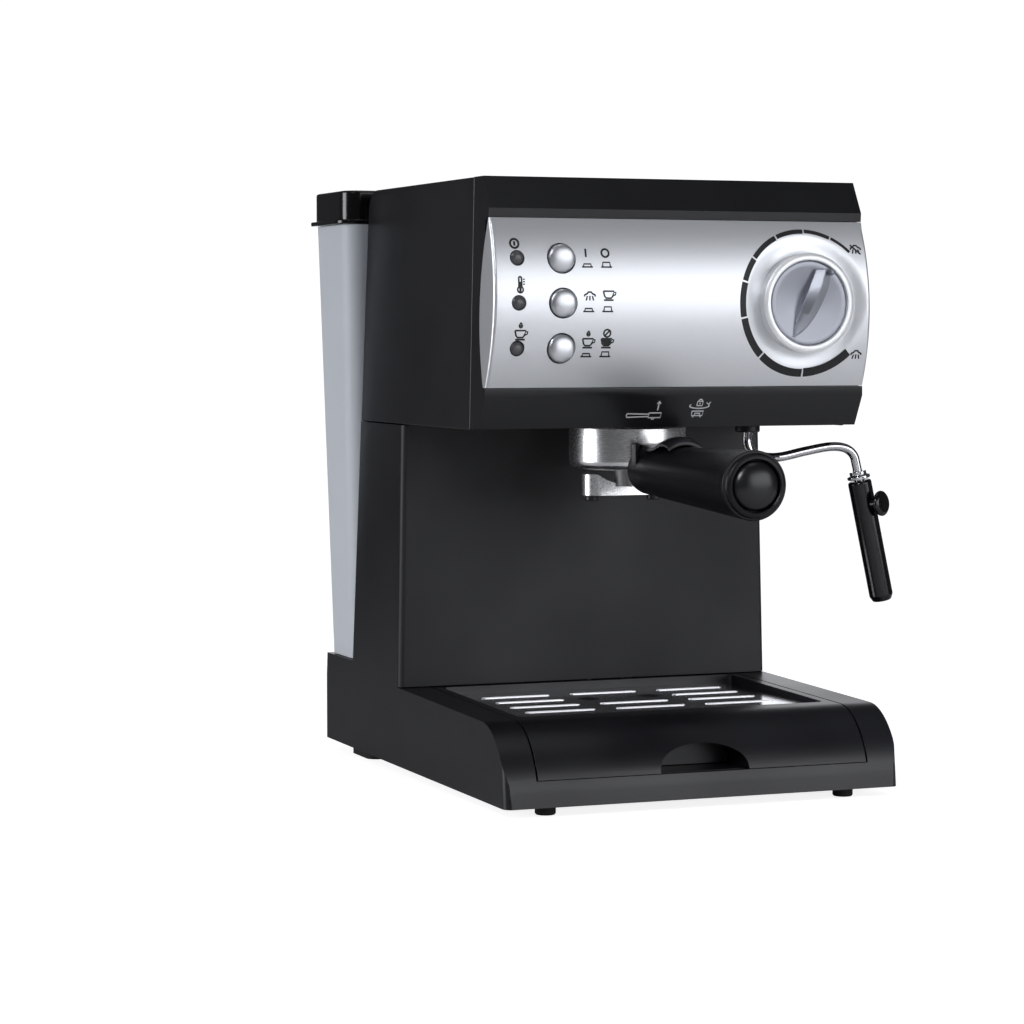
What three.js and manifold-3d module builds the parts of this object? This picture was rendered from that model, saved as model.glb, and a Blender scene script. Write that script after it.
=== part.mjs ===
// Pump espresso machine. Millimetres, +Z up, the front faces -Y.
// Every piece is drawn with x = 0 on the centre plane, y = 0 at the base's front edge and z = 0 on the table.
// At the end the whole group is moved so that its origin is the middle of its footprint.
import * as THREE from 'three';
import { mergeVertices } from 'three/addons/utils/BufferGeometryUtils.js';
import Module from 'manifold-3d';

const wasm = await Module();
wasm.setup();

// ---- driving dimensions ----
const GAP = 0.3; // between pieces that touch
const WALL = 2.5; // moulded plastic shells
const HEIGHT = 312;
const BASE_HALF = 107.2; // half width of the base
const BASE_BOTTOM = 5;
const BASE_TOP = 47;
const SIDE_DRAFT = 0.0208; // the sides lean in by this much per mm above the base
const BASE_FRONT_R = { y: 28, z: 32.5 }; // the quarter ellipse over the base's front edge
const BASE_REAR = 280.8;
const BLOCK_TOP = 53.6; // top of the rear block that the tank stands on
const COLUMN_FRONT = 151.3;
const COLUMN_REAR = 230.6;
const COLUMN_TOP = 186.2;
const HEAD_BOTTOM = 187;
const HEAD_JOINT = 52; // where the front bezel meets the head cover
const HEAD_REAR_TOP = 215.9;
const FASCIA = { low: 208, high: 291.4, edge: 31, bulge: 9.5, cheek: 8, wall: 2 };
const TRAY = { half: 89.8, floor: 18.2, rear: 150 };
const GRILLE = { half: 84, front: 36, rear: 147, low: 40.5, high: 42.5 };
const GROUP = { y: 96, holderR: 30.5, holderLow: 166, holderTop: 186 };
const HANDLE = { z: 164.5, near: 70, nearR: 12.2, far: -55, endR: 17, boreR: 6.3 };
const CLIP = { y: 59.5, z: 177, pinR: 1.1 };
const KNOB = { x: 66.5, z: 250, r: 25, front: 18, back: 24.8 };
const BUTTON = { x: -66.7, r: 7, rows: [271.5, 249.6, 227.4] };
const LED = { x: -90, r: 3.25 };
const TANK = { low: 54.1, high: 294, lowHalf: 105.5, topHalf: 114.3, rear: 277, corner: 10, wall: 2.2 };
const WAND = { x: 55, y: 66, tubeR: 2.4, armY: 60 };
const SLEEVE = { x: 117.3, top: 157.5, endX: 131.4, end: 93.8, r: 6.2, buttonTurn: -60, buttonDrop: 13.3 };
const BOILER = { r: 36, flangeR: 40, low: 200.5, joint: 225, top: 262 };
const PUMP = { x: 40, y: 190, r: 12, low: 60, high: 150 };
const FEET = { front: { x: 81.5, y: 8 }, rear: { x: 96, y: 232 } };
const FRONT_FLARE = 4.5; // the base's front leans forward by this much at its foot
const SPOUT_Y = GROUP.y + 6;
const DROOP = { from: 60, side: 0.0226, down: 0.0217 }; // the handle points a little down and to the right

// ---- solids ----
function solidOf(geometry) {
  const bare = geometry.clone();
  bare.deleteAttribute('normal');
  bare.deleteAttribute('uv');
  const merged = mergeVertices(bare, 1e-4);
  return new wasm.Manifold(new wasm.Mesh({
    numProp: 3,
    vertProperties: new Float32Array(merged.attributes.position.array),
    triVerts: new Uint32Array(merged.index.array),
  }));
}

function geometryOf(solid) {
  const mesh = solid.getMesh();
  const geometry = new THREE.BufferGeometry();
  geometry.setAttribute('position', new THREE.BufferAttribute(new Float32Array(mesh.vertProperties), 3));
  geometry.setIndex(new THREE.BufferAttribute(new Uint32Array(mesh.triVerts), 1));
  return geometry;
}

function cut(body, ...tools) {
  return geometryOf(tools.reduce((solid, tool) => solid.subtract(solidOf(tool)), solidOf(body)));
}

function join(body, ...others) {
  return geometryOf(others.reduce((solid, other) => solid.add(solidOf(other)), solidOf(body)));
}

function meet(body, other) {
  return geometryOf(solidOf(body).intersect(solidOf(other)));
}

function extrude(points, depth, holes = [], steps = 1) {
  const shape = points instanceof THREE.Shape ? points : new THREE.Shape(points.map(([a,
      b]) => new THREE.Vector2(a, b)));
  shape.holes.push(...holes);
  return new THREE.ExtrudeGeometry(shape, { depth, steps, bevelEnabled: false, curveSegments: 3 });
}

const axisX = new THREE.Vector3(1, 0, 0);
const axisY = new THREE.Vector3(0, 1, 0);
const axisZ = new THREE.Vector3(0, 0, 1);

// An outline in (y, z), from x = x0 to x = x1.
function alongX(points, x0, x1, steps = 1) {
  const turn = new THREE.Matrix4().makeBasis(axisY, axisZ, axisX);
  return extrude(points, x1 - x0, [], steps).applyMatrix4(turn).translate(x0, 0, 0);
}

// An outline in (x, z), from y = y0 to y = y1.
function alongY(points, y0, y1) {
  const turn = new THREE.Matrix4().makeBasis(axisX, axisZ, axisY.clone().negate());
  return extrude(points, y1 - y0).applyMatrix4(turn).translate(0, y1, 0);
}

// An outline in (x, y), from z = z0 to z = z1.
function alongZ(points, z0, z1, holes = []) {
  return extrude(points, z1 - z0, holes).translate(0, 0, z0);
}

function block(x0, x1, y0, y1, z0, z1) {
  return new THREE.BoxGeometry(x1 - x0, y1 - y0, z1 - z0).translate((x0 + x1) / 2, (y0 + y1) / 2,
      (z0 + z1) / 2);
}

// A profile of (r, h) turned about Y. The profile starts and ends on the axis, or closes on itself.
function lathe(profile, sides) {
  const points = profile.map(([r, h]) => new THREE.Vector2(r, h));
  if (THREE.ShapeUtils.area(points) < 0) points.reverse();
  return new THREE.LatheGeometry(points, sides);
}

// A piece turned about a vertical line, from a profile of (r, z).
function turned(profile, x = 0, y = 0, sides = 24) {
  return lathe(profile, sides).rotateX(Math.PI / 2).translate(x, y, 0);
}

// A piece turned about a line along Y, from a profile of (r, y).
function turnedY(profile, x, z, sides = 24) {
  return lathe(profile, sides).translate(x, 0, z);
}

function rod(r, z0, z1) {
  return [[0, z0], [r, z0], [r, z1], [0, z1]];
}

function ring(inner, outer, z0, z1) {
  return [[inner, z0], [outer, z0], [outer, z1], [inner, z1], [inner, z0]];
}

function roundedRect(x0, x1, y0, y1, r) {
  const shape = new THREE.Shape();
  shape.moveTo(x0 + r, y0);
  shape.lineTo(x1 - r, y0);
  shape.absarc(x1 - r, y0 + r, r, -Math.PI / 2, 0);
  shape.lineTo(x1, y1 - r);
  shape.absarc(x1 - r, y1 - r, r, 0, Math.PI / 2);
  shape.lineTo(x0 + r, y1);
  shape.absarc(x0 + r, y1 - r, r, Math.PI / 2, Math.PI);
  shape.lineTo(x0, y0 + r);
  shape.absarc(x0 + r, y0 + r, r, Math.PI, Math.PI * 1.5);
  return shape;
}

function circle(a, b, r, sides = 12) {
  return Array.from({ length: sides }, (_, i) => {
    const angle = (2 * Math.PI * i) / sides;
    return [a + r * Math.cos(angle), b + r * Math.sin(angle)];
  });
}

function tube(points, r, steps, sides = 8) {
  const section = new THREE.Shape(circle(0, 0, r, sides).map(([a, b]) => new THREE.Vector2(a, b)));
  const path = new THREE.CatmullRomCurve3(points.map((p) => new THREE.Vector3(...p)), false, 'centripetal');
  return new THREE.ExtrudeGeometry(section, { steps, extrudePath: path, bevelEnabled: false });
}

function reshape(geometry, move) {
  const position = geometry.attributes.position;
  const point = new THREE.Vector3();
  for (let i = 0; i < position.count; i += 1) {
    point.fromBufferAttribute(position, i);
    move(point);
    position.setXYZ(i, point.x, point.y, point.z);
  }
  return geometry;
}

function halfWidth(z) {
  return BASE_HALF - SIDE_DRAFT * Math.max(0, z - BASE_TOP);
}

// Leans the sides in with height, as the whole body does.
function lean(geometry) {
  return reshape(geometry, (p) => {
    p.x *= halfWidth(p.z) / BASE_HALF;
  });
}

// Leans the base's front forward towards its foot.
function flare(geometry) {
  const { y: depth } = BASE_FRONT_R;
  const top = BASE_TOP - WALL;
  return reshape(geometry, (p) => {
    const low = Math.max(0, top - p.z) / (top - BASE_BOTTOM);
    p.y -= FRONT_FLARE * low * (Math.max(0, depth - p.y) / depth);
  });
}

// Bends what is in front of the holder down and to the right, as the handle hangs.
function droop(geometry) {
  return reshape(geometry, (p) => {
    const out = Math.max(0, DROOP.from - p.y);
    p.x += out * DROOP.side;
    p.z -= out * DROOP.down;
  });
}

function columnRear(z) {
  return COLUMN_REAR - (COLUMN_REAR - HEAD_REAR_TOP) * ((z - BLOCK_TOP) / (HEIGHT - BLOCK_TOP));
}

// The rounded front of the base, from z = low up to its top edge, pushed back by inset.
function baseFront(low, inset = 0) {
  const points = [[inset, low]];
  const start = BASE_TOP - 2.5 - BASE_FRONT_R.z;
  const steps = 8;
  for (let i = 0; i <= steps; i += 1) {
    const angle = (Math.PI / 2) * (i / steps);
    const z = start + (BASE_FRONT_R.z - inset) * Math.sin(angle);
    const y = inset + (BASE_FRONT_R.y - inset) * (1 - Math.cos(angle));
    if (z > low + 0.5) points.push([y, z]);
    else points[0] = [y, low];
  }
  return points;
}

function fasciaFront(z) {
  const middle = (FASCIA.low + FASCIA.high) / 2;
  const t = (z - middle) / ((FASCIA.high - FASCIA.low) / 2);
  return FASCIA.edge - FASCIA.bulge * (1 - t * t);
}

// The lens-shaped side of the fascia: bulging forward in front and back onto the cheek behind.
function fasciaLens(forward, back, grow = 0) {
  const steps = 8;
  const low = FASCIA.low - grow;
  const high = FASCIA.high + grow;
  const front = [];
  const rear = [];
  for (let i = 0; i <= steps; i += 1) {
    const z = low + ((high - low) * i) / steps;
    const t = (2 * i) / steps - 1;
    front.push([fasciaFront(z) + forward, z]);
    rear.unshift([FASCIA.edge + 4 - (3.2 * i) / steps + FASCIA.cheek * (1 - t * t) + back, z]);
  }
  return [...rear, ...front];
}

// ---- base and column ----
function lowerHousing() {
  const outline = [
    ...baseFront(BASE_BOTTOM),
    [COLUMN_FRONT + 3.5, BASE_TOP],
    [COLUMN_FRONT + 5.3, COLUMN_TOP],
    [columnRear(COLUMN_TOP), COLUMN_TOP],
    [COLUMN_REAR, BLOCK_TOP],
    [BASE_REAR - 4.2, BLOCK_TOP],
    [BASE_REAR, BASE_BOTTOM],
  ].reverse();
  const outer = meet(
    lean(alongX(outline, -BASE_HALF, BASE_HALF)),
    alongZ(roundedRect(-BASE_HALF, BASE_HALF, 0, BASE_REAR, 4), 0, HEIGHT),
  );
  const inside = BASE_HALF - WALL;
  const bayHalf = TRAY.half + 0.5;
  const bay = block(-bayHalf, bayHalf, -5, TRAY.rear + 3.5, TRAY.floor - GAP, BASE_TOP + 0.1);
  const guideSpace = block(-bayHalf, bayHalf, WALL, TRAY.rear + 3.5, 4, 30);
  const under = block(-inside, inside, WALL, TRAY.rear + 3.6, 4, TRAY.floor - GAP - WALL);
  const rearHollow = alongX([
    [TRAY.rear + 3.5, 4],
    [BASE_REAR - WALL, 4],
    [BASE_REAR - 4.2 - WALL, BLOCK_TOP - WALL],
    [COLUMN_REAR - WALL, BLOCK_TOP - WALL],
    [COLUMN_REAR - WALL, 60],
    [TRAY.rear + 3.5, 60],
  ], -inside, inside);
  const columnHollow = lean(alongX([
    [COLUMN_FRONT - 2, BASE_TOP + WALL],
    [columnRear(BASE_TOP + WALL) - WALL, BASE_TOP + WALL],
    [columnRear(HEAD_BOTTOM + 3) - WALL, HEAD_BOTTOM + 3],
    [COLUMN_FRONT - 2, HEAD_BOTTOM + 3],
  ], -inside, inside));
  const rail = [...baseFront(4, WALL), [TRAY.rear, BASE_TOP - WALL], [TRAY.rear, 4]].reverse();
  const left = alongX(rail, -inside, -TRAY.half - 0.5 - WALL);
  const right = alongX(rail, TRAY.half + 0.5 + WALL, inside);
  const seatHole = turned(rod(13, 40, 60), 0, 252, 24);
  const glandHole = turnedY(rod(6.3, 270, 285), 70, 25, 20);
  return flare(cut(outer, bay, guideSpace, under, rearHollow, columnHollow, left, right, seatHole,
      glandHole));
}

// The floor and rear wall that the drip tray slides into.
function trayGuide() {
  const half = TRAY.half + 0.5 - GAP;
  const top = TRAY.floor - GAP;
  const rear = TRAY.rear + 3.2;
  const floor = block(-half, half, WALL + GAP, rear, top - WALL, top);
  return join(floor, block(-half, half, rear - WALL, rear, top - 1, BASE_TOP - GAP));
}

function basePlate() {
  const plate = alongZ(roundedRect(-104, 104, 3.2, 277, 3), BASE_BOTTOM + GAP, BASE_BOTTOM + GAP + 2);
  const holes = [-1, 1].flatMap((side) => [
    turned(rod(3.3, 0, 20), side * FEET.front.x, FEET.front.y, 12),
    turned(rod(3.3, 0, 20), side * FEET.rear.x, FEET.rear.y, 12),
  ]);
  return cut(plate, ...holes);
}

function frontFoot(side) {
  const profile = [[0, 0], [4.6, 0], [5.2, 0.7], [5.2, 5], [3, 5], [3, 9], [0, 9]];
  return turned(profile, side * FEET.front.x, FEET.front.y, 20);
}

function rearFoot(side) {
  const { x, y } = FEET.rear;
  const pad = alongZ(roundedRect(side * x - 6.5, side * x + 6.5, y - 17, y + 17, 6), 0, 5);
  return join(pad, turned(rod(3, 4, 9), side * x, y, 12));
}

function columnFrontPanel() {
  const depth = 3.2;
  const low = BASE_TOP + GAP;
  const outline = new THREE.Shape();
  const r = 3;
  outline.moveTo(-BASE_HALF, depth);
  outline.lineTo(-BASE_HALF, r);
  outline.absarc(-BASE_HALF + r, r, r, Math.PI, Math.PI * 1.5);
  outline.lineTo(BASE_HALF - r, 0);
  outline.absarc(BASE_HALF - r, r, r, -Math.PI / 2, 0);
  outline.lineTo(BASE_HALF, depth);
  return reshape(lean(alongZ(outline, low, COLUMN_TOP)), (p) => {
    p.y += COLUMN_FRONT + (1.9 * (p.z - low)) / (COLUMN_TOP - low);
  });
}

// ---- head ----
function headOutline(inset, bottom) {
  const top = HEIGHT - inset;
  const r = 12 - inset / 2;
  const rear = HEAD_REAR_TOP - inset + 0.6;
  const points = [[HEAD_JOINT + GAP - inset * 2, bottom], [HEAD_JOINT + GAP - inset * 2, top]];
  for (let i = 0; i <= 5; i += 1) {
    const angle = (Math.PI / 2) * (i / 5);
    points.push([rear - r + r * Math.sin(angle), top - r + r * Math.cos(angle)]);
  }
  points.push([columnRear(bottom) - inset, bottom]);
  return points;
}

function headCover() {
  const outer = lean(alongX(headOutline(0, HEAD_BOTTOM - GAP).reverse(), -BASE_HALF, BASE_HALF));
  const inside = BASE_HALF - WALL;
  return cut(outer, lean(alongX(headOutline(WALL, HEAD_BOTTOM - 10).reverse(), -inside, inside)));
}

function headBottomPlate() {
  const half = halfWidth(HEAD_BOTTOM) - WALL - 0.6;
  const plate = alongZ(roundedRect(-half, half, HEAD_JOINT + 0.6, COLUMN_FRONT + 2.5, 3), HEAD_BOTTOM,
      HEAD_BOTTOM + 2);
  const groupHole = turned(rod(38.4, 180, 195), 0, GROUP.y, 28);
  const wandHole = turned(rod(6, 180, 195), WAND.x, WAND.y, 16);
  return cut(plate, groupHole, wandHole);
}

// The holes behind the buttons, lamps and knob, from y0 to y1.
function panelHoles(grow, y0, y1) {
  return BUTTON.rows.flatMap((z) => [
    turnedY(rod(BUTTON.r + grow, y0, y1), BUTTON.x, z, 18),
    turnedY(rod(LED.r + grow, y0, y1), LED.x, z, 12),
  ]);
}

function frontBezel() {
  const outline = [
    [HEAD_JOINT, HEAD_BOTTOM + 0.5],
    [HEAD_JOINT, HEIGHT],
    [39.5, HEIGHT],
    [31, 296],
    [31.5, FASCIA.high + GAP],
    [36, FASCIA.high + GAP],
    [36, FASCIA.low - GAP],
    [32, FASCIA.low - GAP],
    [32, 203],
    [41, HEAD_BOTTOM + 0.5],
  ];
  const frame = lean(alongX(outline, -BASE_HALF, BASE_HALF));
  const inner = BASE_HALF - FASCIA.wall - GAP;
  const plug = lean(alongX(fasciaLens(FASCIA.wall + GAP, 4), -inner, inner));
  const lens = lean(alongX(fasciaLens(-2, GAP, GAP - 0.01), -BASE_HALF - 2, BASE_HALF + 2));
  const hollowHalf = inner - WALL;
  const hollow = lean(alongX([
    [44, HEAD_BOTTOM + 3],
    [HEAD_JOINT + 1, HEAD_BOTTOM + 3],
    [HEAD_JOINT + 1, HEIGHT - WALL],
    [42, HEIGHT - WALL],
    [34.8, 295],
    [30.6, 285],
    [30.6, 216],
    [36.5, 206],
  ], -hollowHalf, hollowHalf));
  const dish = turnedY(rod(31.8, 10, 28.4), KNOB.x, KNOB.z, 28);
  const stemHole = turnedY(rod(4, 20, 60), KNOB.x, KNOB.z, 16);
  return cut(join(cut(frame, lens), plug), hollow, dish, stemHole, ...panelHoles(0.5, 10, 60));
}

function silverFascia() {
  const lens = lean(alongX(fasciaLens(0, 0), -BASE_HALF, BASE_HALF));
  const inner = BASE_HALF - FASCIA.wall;
  const back = lean(alongX(fasciaLens(FASCIA.wall, 20, 0.5), -inner, inner));
  const shell = cut(cut(lens, back), turnedY(rod(30.6, 10, 60), KNOB.x, KNOB.z, 28));
  const dish = turnedY([[4, 25.6], [4, 27.6], [31.4, 27.6], [31.4, 15], [30, 15], [27.5, 25.6], [4, 25.6]],
    KNOB.x, KNOB.z, 28);
  return cut(join(shell, meet(dish, lens)), ...panelHoles(0.3, 10, 60));
}

function led(z) {
  const face = fasciaFront(z);
  return turnedY([[0, face - 0.6], [0, face + 7], [LED.r, face + 7], [LED.r, face], [2.2, face - 0.5], [0,
      face - 0.6]],
    LED.x, z, 12);
}

function button(z) {
  const face = fasciaFront(z);
  const r = BUTTON.r;
  const profile = [[0, face - 2.4], [0, 36], [2.5, 36], [2.5, face + 7], [r, face + 7], [r, face - 0.6],
    [r - 0.8, face - 1.4], [r * 0.55, face - 2.1], [0, face - 2.4]];
  return turnedY(profile, BUTTON.x, z, 18);
}

function switchBank() {
  return block(BUTTON.x - 9, BUTTON.x + 9, 40, 49, BUTTON.rows[2] - 9, BUTTON.rows[0] + 9);
}

function controlBoard() {
  return block(-96, -46, 54.5, 56.1, 206, 300);
}

// ---- steam knob and valve ----
function knobRing() {
  const { r, front, back } = KNOB;
  const profile = [[21.6, front + 0.6], [21.6, back], [r, back], [r, front + 1], [r - 0.9, front], [22,
      front],
    [21.6, front + 0.6]];
  return turnedY(profile, KNOB.x, KNOB.z, 28);
}

function steamKnob() {
  const { front, back } = KNOB;
  const disc = turnedY([[0, front + 1.6], [0, 22], [3.2, 22], [3.2, 25.3], [7, 25.3], [7, back], [21.3, back],
    [21.3, front + 2], [19.5, front + 1.6], [0, front + 1.6]], KNOB.x, KNOB.z, 28);
  const grip = new THREE.Shape();
  grip.moveTo(-9.5, -17);
  grip.quadraticCurveTo(3, -12, 8, 1.5);
  grip.lineTo(11.5, 15);
  grip.lineTo(4.5, 18);
  grip.quadraticCurveTo(-3, 2, -9.5, -17);
  const fin = extrude(grip, 11);
  const turn = new THREE.Matrix4().makeBasis(axisX, axisZ, axisY.clone().negate());
  fin.applyMatrix4(turn).translate(KNOB.x, front + 3, KNOB.z);
  return join(disc, fin);
}

function valveStem() {
  return turnedY([[0, 22.3], [0, 82], [1.2, 80], [2.9, 76], [2.9, 22.3], [0, 22.3]], KNOB.x, KNOB.z, 16);
}

function steamValveBody() {
  const profile = [[3.2, 62], [3.2, 79], [1.5, 84], [0, 84], [0, 94], [9, 94], [9, 66], [6, 66], [6, 62],
      [3.2, 62]];
  return turnedY(profile, KNOB.x, KNOB.z, 20);
}

// ---- boiler and brewing group ----
function boilerLower() {
  const { r, flangeR, low, joint } = BOILER;
  const screwR = 2.9;
  return turned([[0, low + 6], [screwR, low + 6], [screwR, low], [r, low], [r, joint - 7], [flangeR,
      joint - 7],
    [flangeR, joint - 1], [r - 6, joint - 1], [r - 6, low + 9], [0, low + 9]], 0, GROUP.y);
}

function boilerGasket() {
  const { joint } = BOILER;
  return turned(ring(30, 34, joint - 0.7, joint + 0.7), 0, GROUP.y);
}

function boilerUpper() {
  const { r, flangeR, joint, top } = BOILER;
  return turned([[0, top - 6], [r - 6, top - 6], [r - 6, joint + 1], [flangeR, joint + 1], [flangeR,
      joint + 7],
    [r, joint + 7], [r, top - 4], [r - 4, top], [0, top]], 0, GROUP.y);
}

function heatingElement() {
  const points = [];
  const r = BOILER.r + 4.6;
  const count = 13;
  for (let i = 0; i < count; i += 1) {
    const angle = Math.PI / 2 + 0.5 + ((2 * Math.PI - 1) * i) / (count - 1);
    points.push([r * Math.cos(angle), GROUP.y + r * Math.sin(angle), 241]);
  }
  const [x, y] = points[0];
  points.unshift([x * 1.05, y + 10, 246]);
  points.push([-x * 1.05, y + 10, 246]);
  return tube(points, 3, 26, 6);
}

function thermostat(side) {
  const z = BOILER.top + GAP;
  return turned([[0, z], [8, z], [8, z + 4], [4, z + 5.5], [0, z + 5.5]], side * 16, GROUP.y, 20);
}

function groupRing() {
  const sleeve = turned(ring(31.5, 38, HEAD_BOTTOM + GAP, BOILER.low - GAP), 0, GROUP.y);
  const lip = (start) => {
    const shape = new THREE.Shape();
    const span = THREE.MathUtils.degToRad(120);
    shape.absarc(0, 0, 32.5, start, start + span);
    shape.absarc(0, 0, 28.8, start + span, start, true);
    return alongZ(shape, HEAD_BOTTOM + GAP, HEAD_BOTTOM + 3).translate(0, GROUP.y, 0);
  };
  const first = THREE.MathUtils.degToRad(-70);
  return join(sleeve, lip(first), lip(first + Math.PI));
}

function groupGasket() {
  return turned(ring(23.2, 31, 196.4, BOILER.low - GAP), 0, GROUP.y);
}

function showerScreen() {
  return turned(ring(2.9, 22.8, 197.6, 198.8), 0, GROUP.y);
}

function showerScrew() {
  return turned([[0, 196], [4.5, 196], [4.5, 197.3], [2.6, 197.3], [2.6, 205], [0, 205]], 0, GROUP.y, 16);
}

// ---- portafilter ----
function portafilterBody() {
  const { holderR: r, holderLow: low, holderTop: top } = GROUP;
  const shell = turned([[8.2, low - 2], [23, low - 2], [r - 2.2, low - 1.2], [r - 0.4, low + 0.6], [r,
      low + 2.2],
    [r, top], [28.3, top + 0.4], [28.3, 194.8], [25.9, 194.8], [25.9, low + 5], [22, low + 2], [8.2, low + 2],
    [8.2, low - 2]], 0, GROUP.y, 28);
  const lug = (start) => {
    const shape = new THREE.Shape();
    const span = THREE.MathUtils.degToRad(36);
    shape.absarc(0, 0, 31, start, start + span);
    shape.absarc(0, 0, 27.5, start + span, start, true);
    return alongZ(shape, HEAD_BOTTOM + 3.4, HEAD_BOTTOM + 6.4).translate(0, GROUP.y, 0);
  };
  const first = THREE.MathUtils.degToRad(-18);
  const boss = turnedY([[0, 30], [0, 73], [6, 73], [6, 30], [0, 30]], 0, HANDLE.z, 16);
  return droop(join(shell, lug(first), lug(first + Math.PI), boss));
}

function filterBasket() {
  return turned([[0, 172], [22, 172], [25.4, 177], [25.4, 195.1], [28.3, 195.1], [28.3, 196.1], [24.6, 196.1],
    [24.6, 177.5], [21.8, 173], [0, 173]], 0, GROUP.y, 24);
}

function twinSpout() {
  const low = 150.2;
  const high = 161.2;
  const bar = new THREE.Shape();
  bar.moveTo(-22.5, low);
  bar.lineTo(22.5, low);
  bar.lineTo(22.5, high);
  bar.lineTo(17, high);
  bar.quadraticCurveTo(13, 155.6, 7, 155.4);
  bar.lineTo(-7, 155.4);
  bar.quadraticCurveTo(-13, 155.6, -17, high);
  bar.lineTo(-22.5, high);
  const plan = alongZ(roundedRect(-22.5, 22.5, SPOUT_Y - 7.5, SPOUT_Y + 7.5, 7.4), 140, 170);
  const wings = meet(alongY(bar, SPOUT_Y - 8, SPOUT_Y + 8), plan);
  const nut = turned([[0, 155], [9, 155], [9, 163.7], [7.9, 163.7], [7.9, 167.5], [0, 167.5]], 0, GROUP.y,
      24);
  const nozzle = (side) => turned(rod(3.6, 147.3, 152), side * 17.6, SPOUT_Y, 12);
  return join(wings, nut, nozzle(-1), nozzle(1));
}

// The grip is a cone whose near end hugs the holder's wall.
function handleGrip() {
  const { z, near, nearR, far, endR, boreR } = HANDLE;
  const profile = [[0, near], [nearR, near], [endR - 0.3, far + 13], [endR, far + 8], [endR, far + 4.5],
    [endR - 1.6, far + 4], [endR - 1.6, far + 2], [12.4, far + 1.4], [12.4, far + 6], [0, far + 6]];
  const stub = turnedY(rod(boreR, 26, 90), 0, z, 16);
  const holder = turned(rod(GROUP.holderR + 0.4, 140, 190), 0, GROUP.y, 28);
  const ears = [-1, 1].map((side) => block(side * 11.4 - 1.2, side * 11.4 + 1.2, 56.5, 62, z + 2,
      CLIP.z + 1.9));
  const pinHole = alongX(circle(CLIP.y, CLIP.z, CLIP.pinR + GAP), -15, 15);
  const flapSeat = block(-10.2, 10.2, 44, 75, CLIP.z - 1.1, 190);
  const cone = cut(turnedY(profile, 0, z, 24), flapSeat);
  return droop(cut(join(cone, ...ears), stub, holder, pinHole));
}

function handleCap() {
  const { far } = HANDLE;
  const profile = [[0, far - 1.6], [0, far + 5.6], [12, far + 5.6], [12, far + 3.4], [10.5, far + 0.9], [6,
      far - 1],
    [0, far - 1.6]];
  return droop(turnedY(profile, 0, HANDLE.z, 24));
}

// The arched thumb flap on top of the handle; turned over, it holds the basket in while it is knocked out.
function basketClip() {
  const upper = [[61.4, 178.6], [50, 178.4], [43, 180], [37, 182.8], [31, 183.6], [27, 183], [24, 181.3]];
  const lower = upper.map(([y, z]) => [y, z - 1.9]).reverse();
  const archR = 15;
  const flap = reshape(alongX([...upper, ...lower], -9.5, 9.5, 8), (p) => {
    const fade = Math.min(1, Math.max(0, (58 - p.y) / 20));
    p.z -= (archR - Math.sqrt(archR * archR - p.x * p.x)) * fade;
  });
  return droop(join(flap, alongX(circle(CLIP.y, CLIP.z, CLIP.pinR), -12.8, 12.8)));
}

// ---- drip tray and grille ----
function dripTray() {
  const { half, floor, rear } = TRAY;
  const outline = [...baseFront(floor), [rear, BASE_TOP - 0.1], [rear, floor]].reverse();
  const body = alongX(outline, -half, half);
  const basin = block(-81.5, 81.5, 39, 144, floor + WALL, 60);
  const recess = block(-GRILLE.half - 0.4, GRILLE.half + 0.4, GRILLE.front - 0.4, GRILLE.rear + 0.4,
    GRILLE.low - GAP, 60);
  const arch = new THREE.Shape();
  arch.moveTo(-24, floor - 5);
  arch.lineTo(-24, floor);
  arch.quadraticCurveTo(-20, 31.5, 0, 31.5);
  arch.quadraticCurveTo(20, 31.5, 24, floor);
  arch.lineTo(24, floor - 5);
  const fingerSpace = alongY(arch, -5, 24);
  const pocket = [...baseFront(floor - 1, WALL), [33, BASE_TOP - 2 * WALL - 2], [33, floor - 1]].reverse();
  const left = alongX(pocket, -half + WALL, -27);
  const right = alongX(pocket, 27, half - WALL);
  return flare(cut(body, basin, recess, fingerSpace, left, right));
}

function cupGrille() {
  const { half, front, rear, low, high } = GRILLE;
  const plate = alongZ(roundedRect(-half, half, front, rear, 3), low, high);
  const tools = [];
  for (const y of [44, 65, 86, 107, 128]) {
    for (const x of [-50.3, 0, 50.3]) {
      if (x !== 0 || y !== 107) {
        tools.push(block(x - 19, x + 19, y - 1.2, y + 1.2, low - 1, high + 1));
      }
    }
  }
  for (const side of [-1, 1]) {
    tools.push(turned([[0, low - 1], [3, low - 1], [3, low + 0.8], [7, high + 0.1], [7, high + 1], [0,
    high + 1]],
      side * 17.6, 107, 14));
  }
  return cut(plate, ...tools);
}

// ---- water tank ----
// A rounded box that leans and widens with height, from z0 to z1, pulled in by inset all round.
function tankForm(inset, z0, z1) {
  const { low, high, lowHalf, topHalf, rear, corner } = TANK;
  const form = alongZ(roundedRect(-topHalf, topHalf, 0, 1000, corner), z0, z1);
  return reshape(form, (p) => {
    const t = (p.z - low) / (high - low);
    const half = lowHalf + (topHalf - lowHalf) * t;
    const front = columnRear(p.z) + 0.8;
    const nearFront = p.y < 500;
    p.x *= (half - inset) / topHalf;
    p.y = nearFront ? front + inset + p.y : rear - inset + (p.y - 1000);
  });
}

function waterTank() {
  const outer = tankForm(0, TANK.low, TANK.high);
  const inner = tankForm(TANK.wall, TANK.low + TANK.wall, TANK.high + 5);
  return cut(outer, inner, turned(rod(6, 40, 60), 0, 252, 20));
}

function tankValve() {
  const low = TANK.low + TANK.wall;
  return turned([[0, 44], [4, 44], [5.6, 46], [5.6, low + GAP], [8.5, low + GAP], [8.5, low + 2], [3,
      low + 8], [0, low + 8]],
    0, 252, 20);
}

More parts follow.
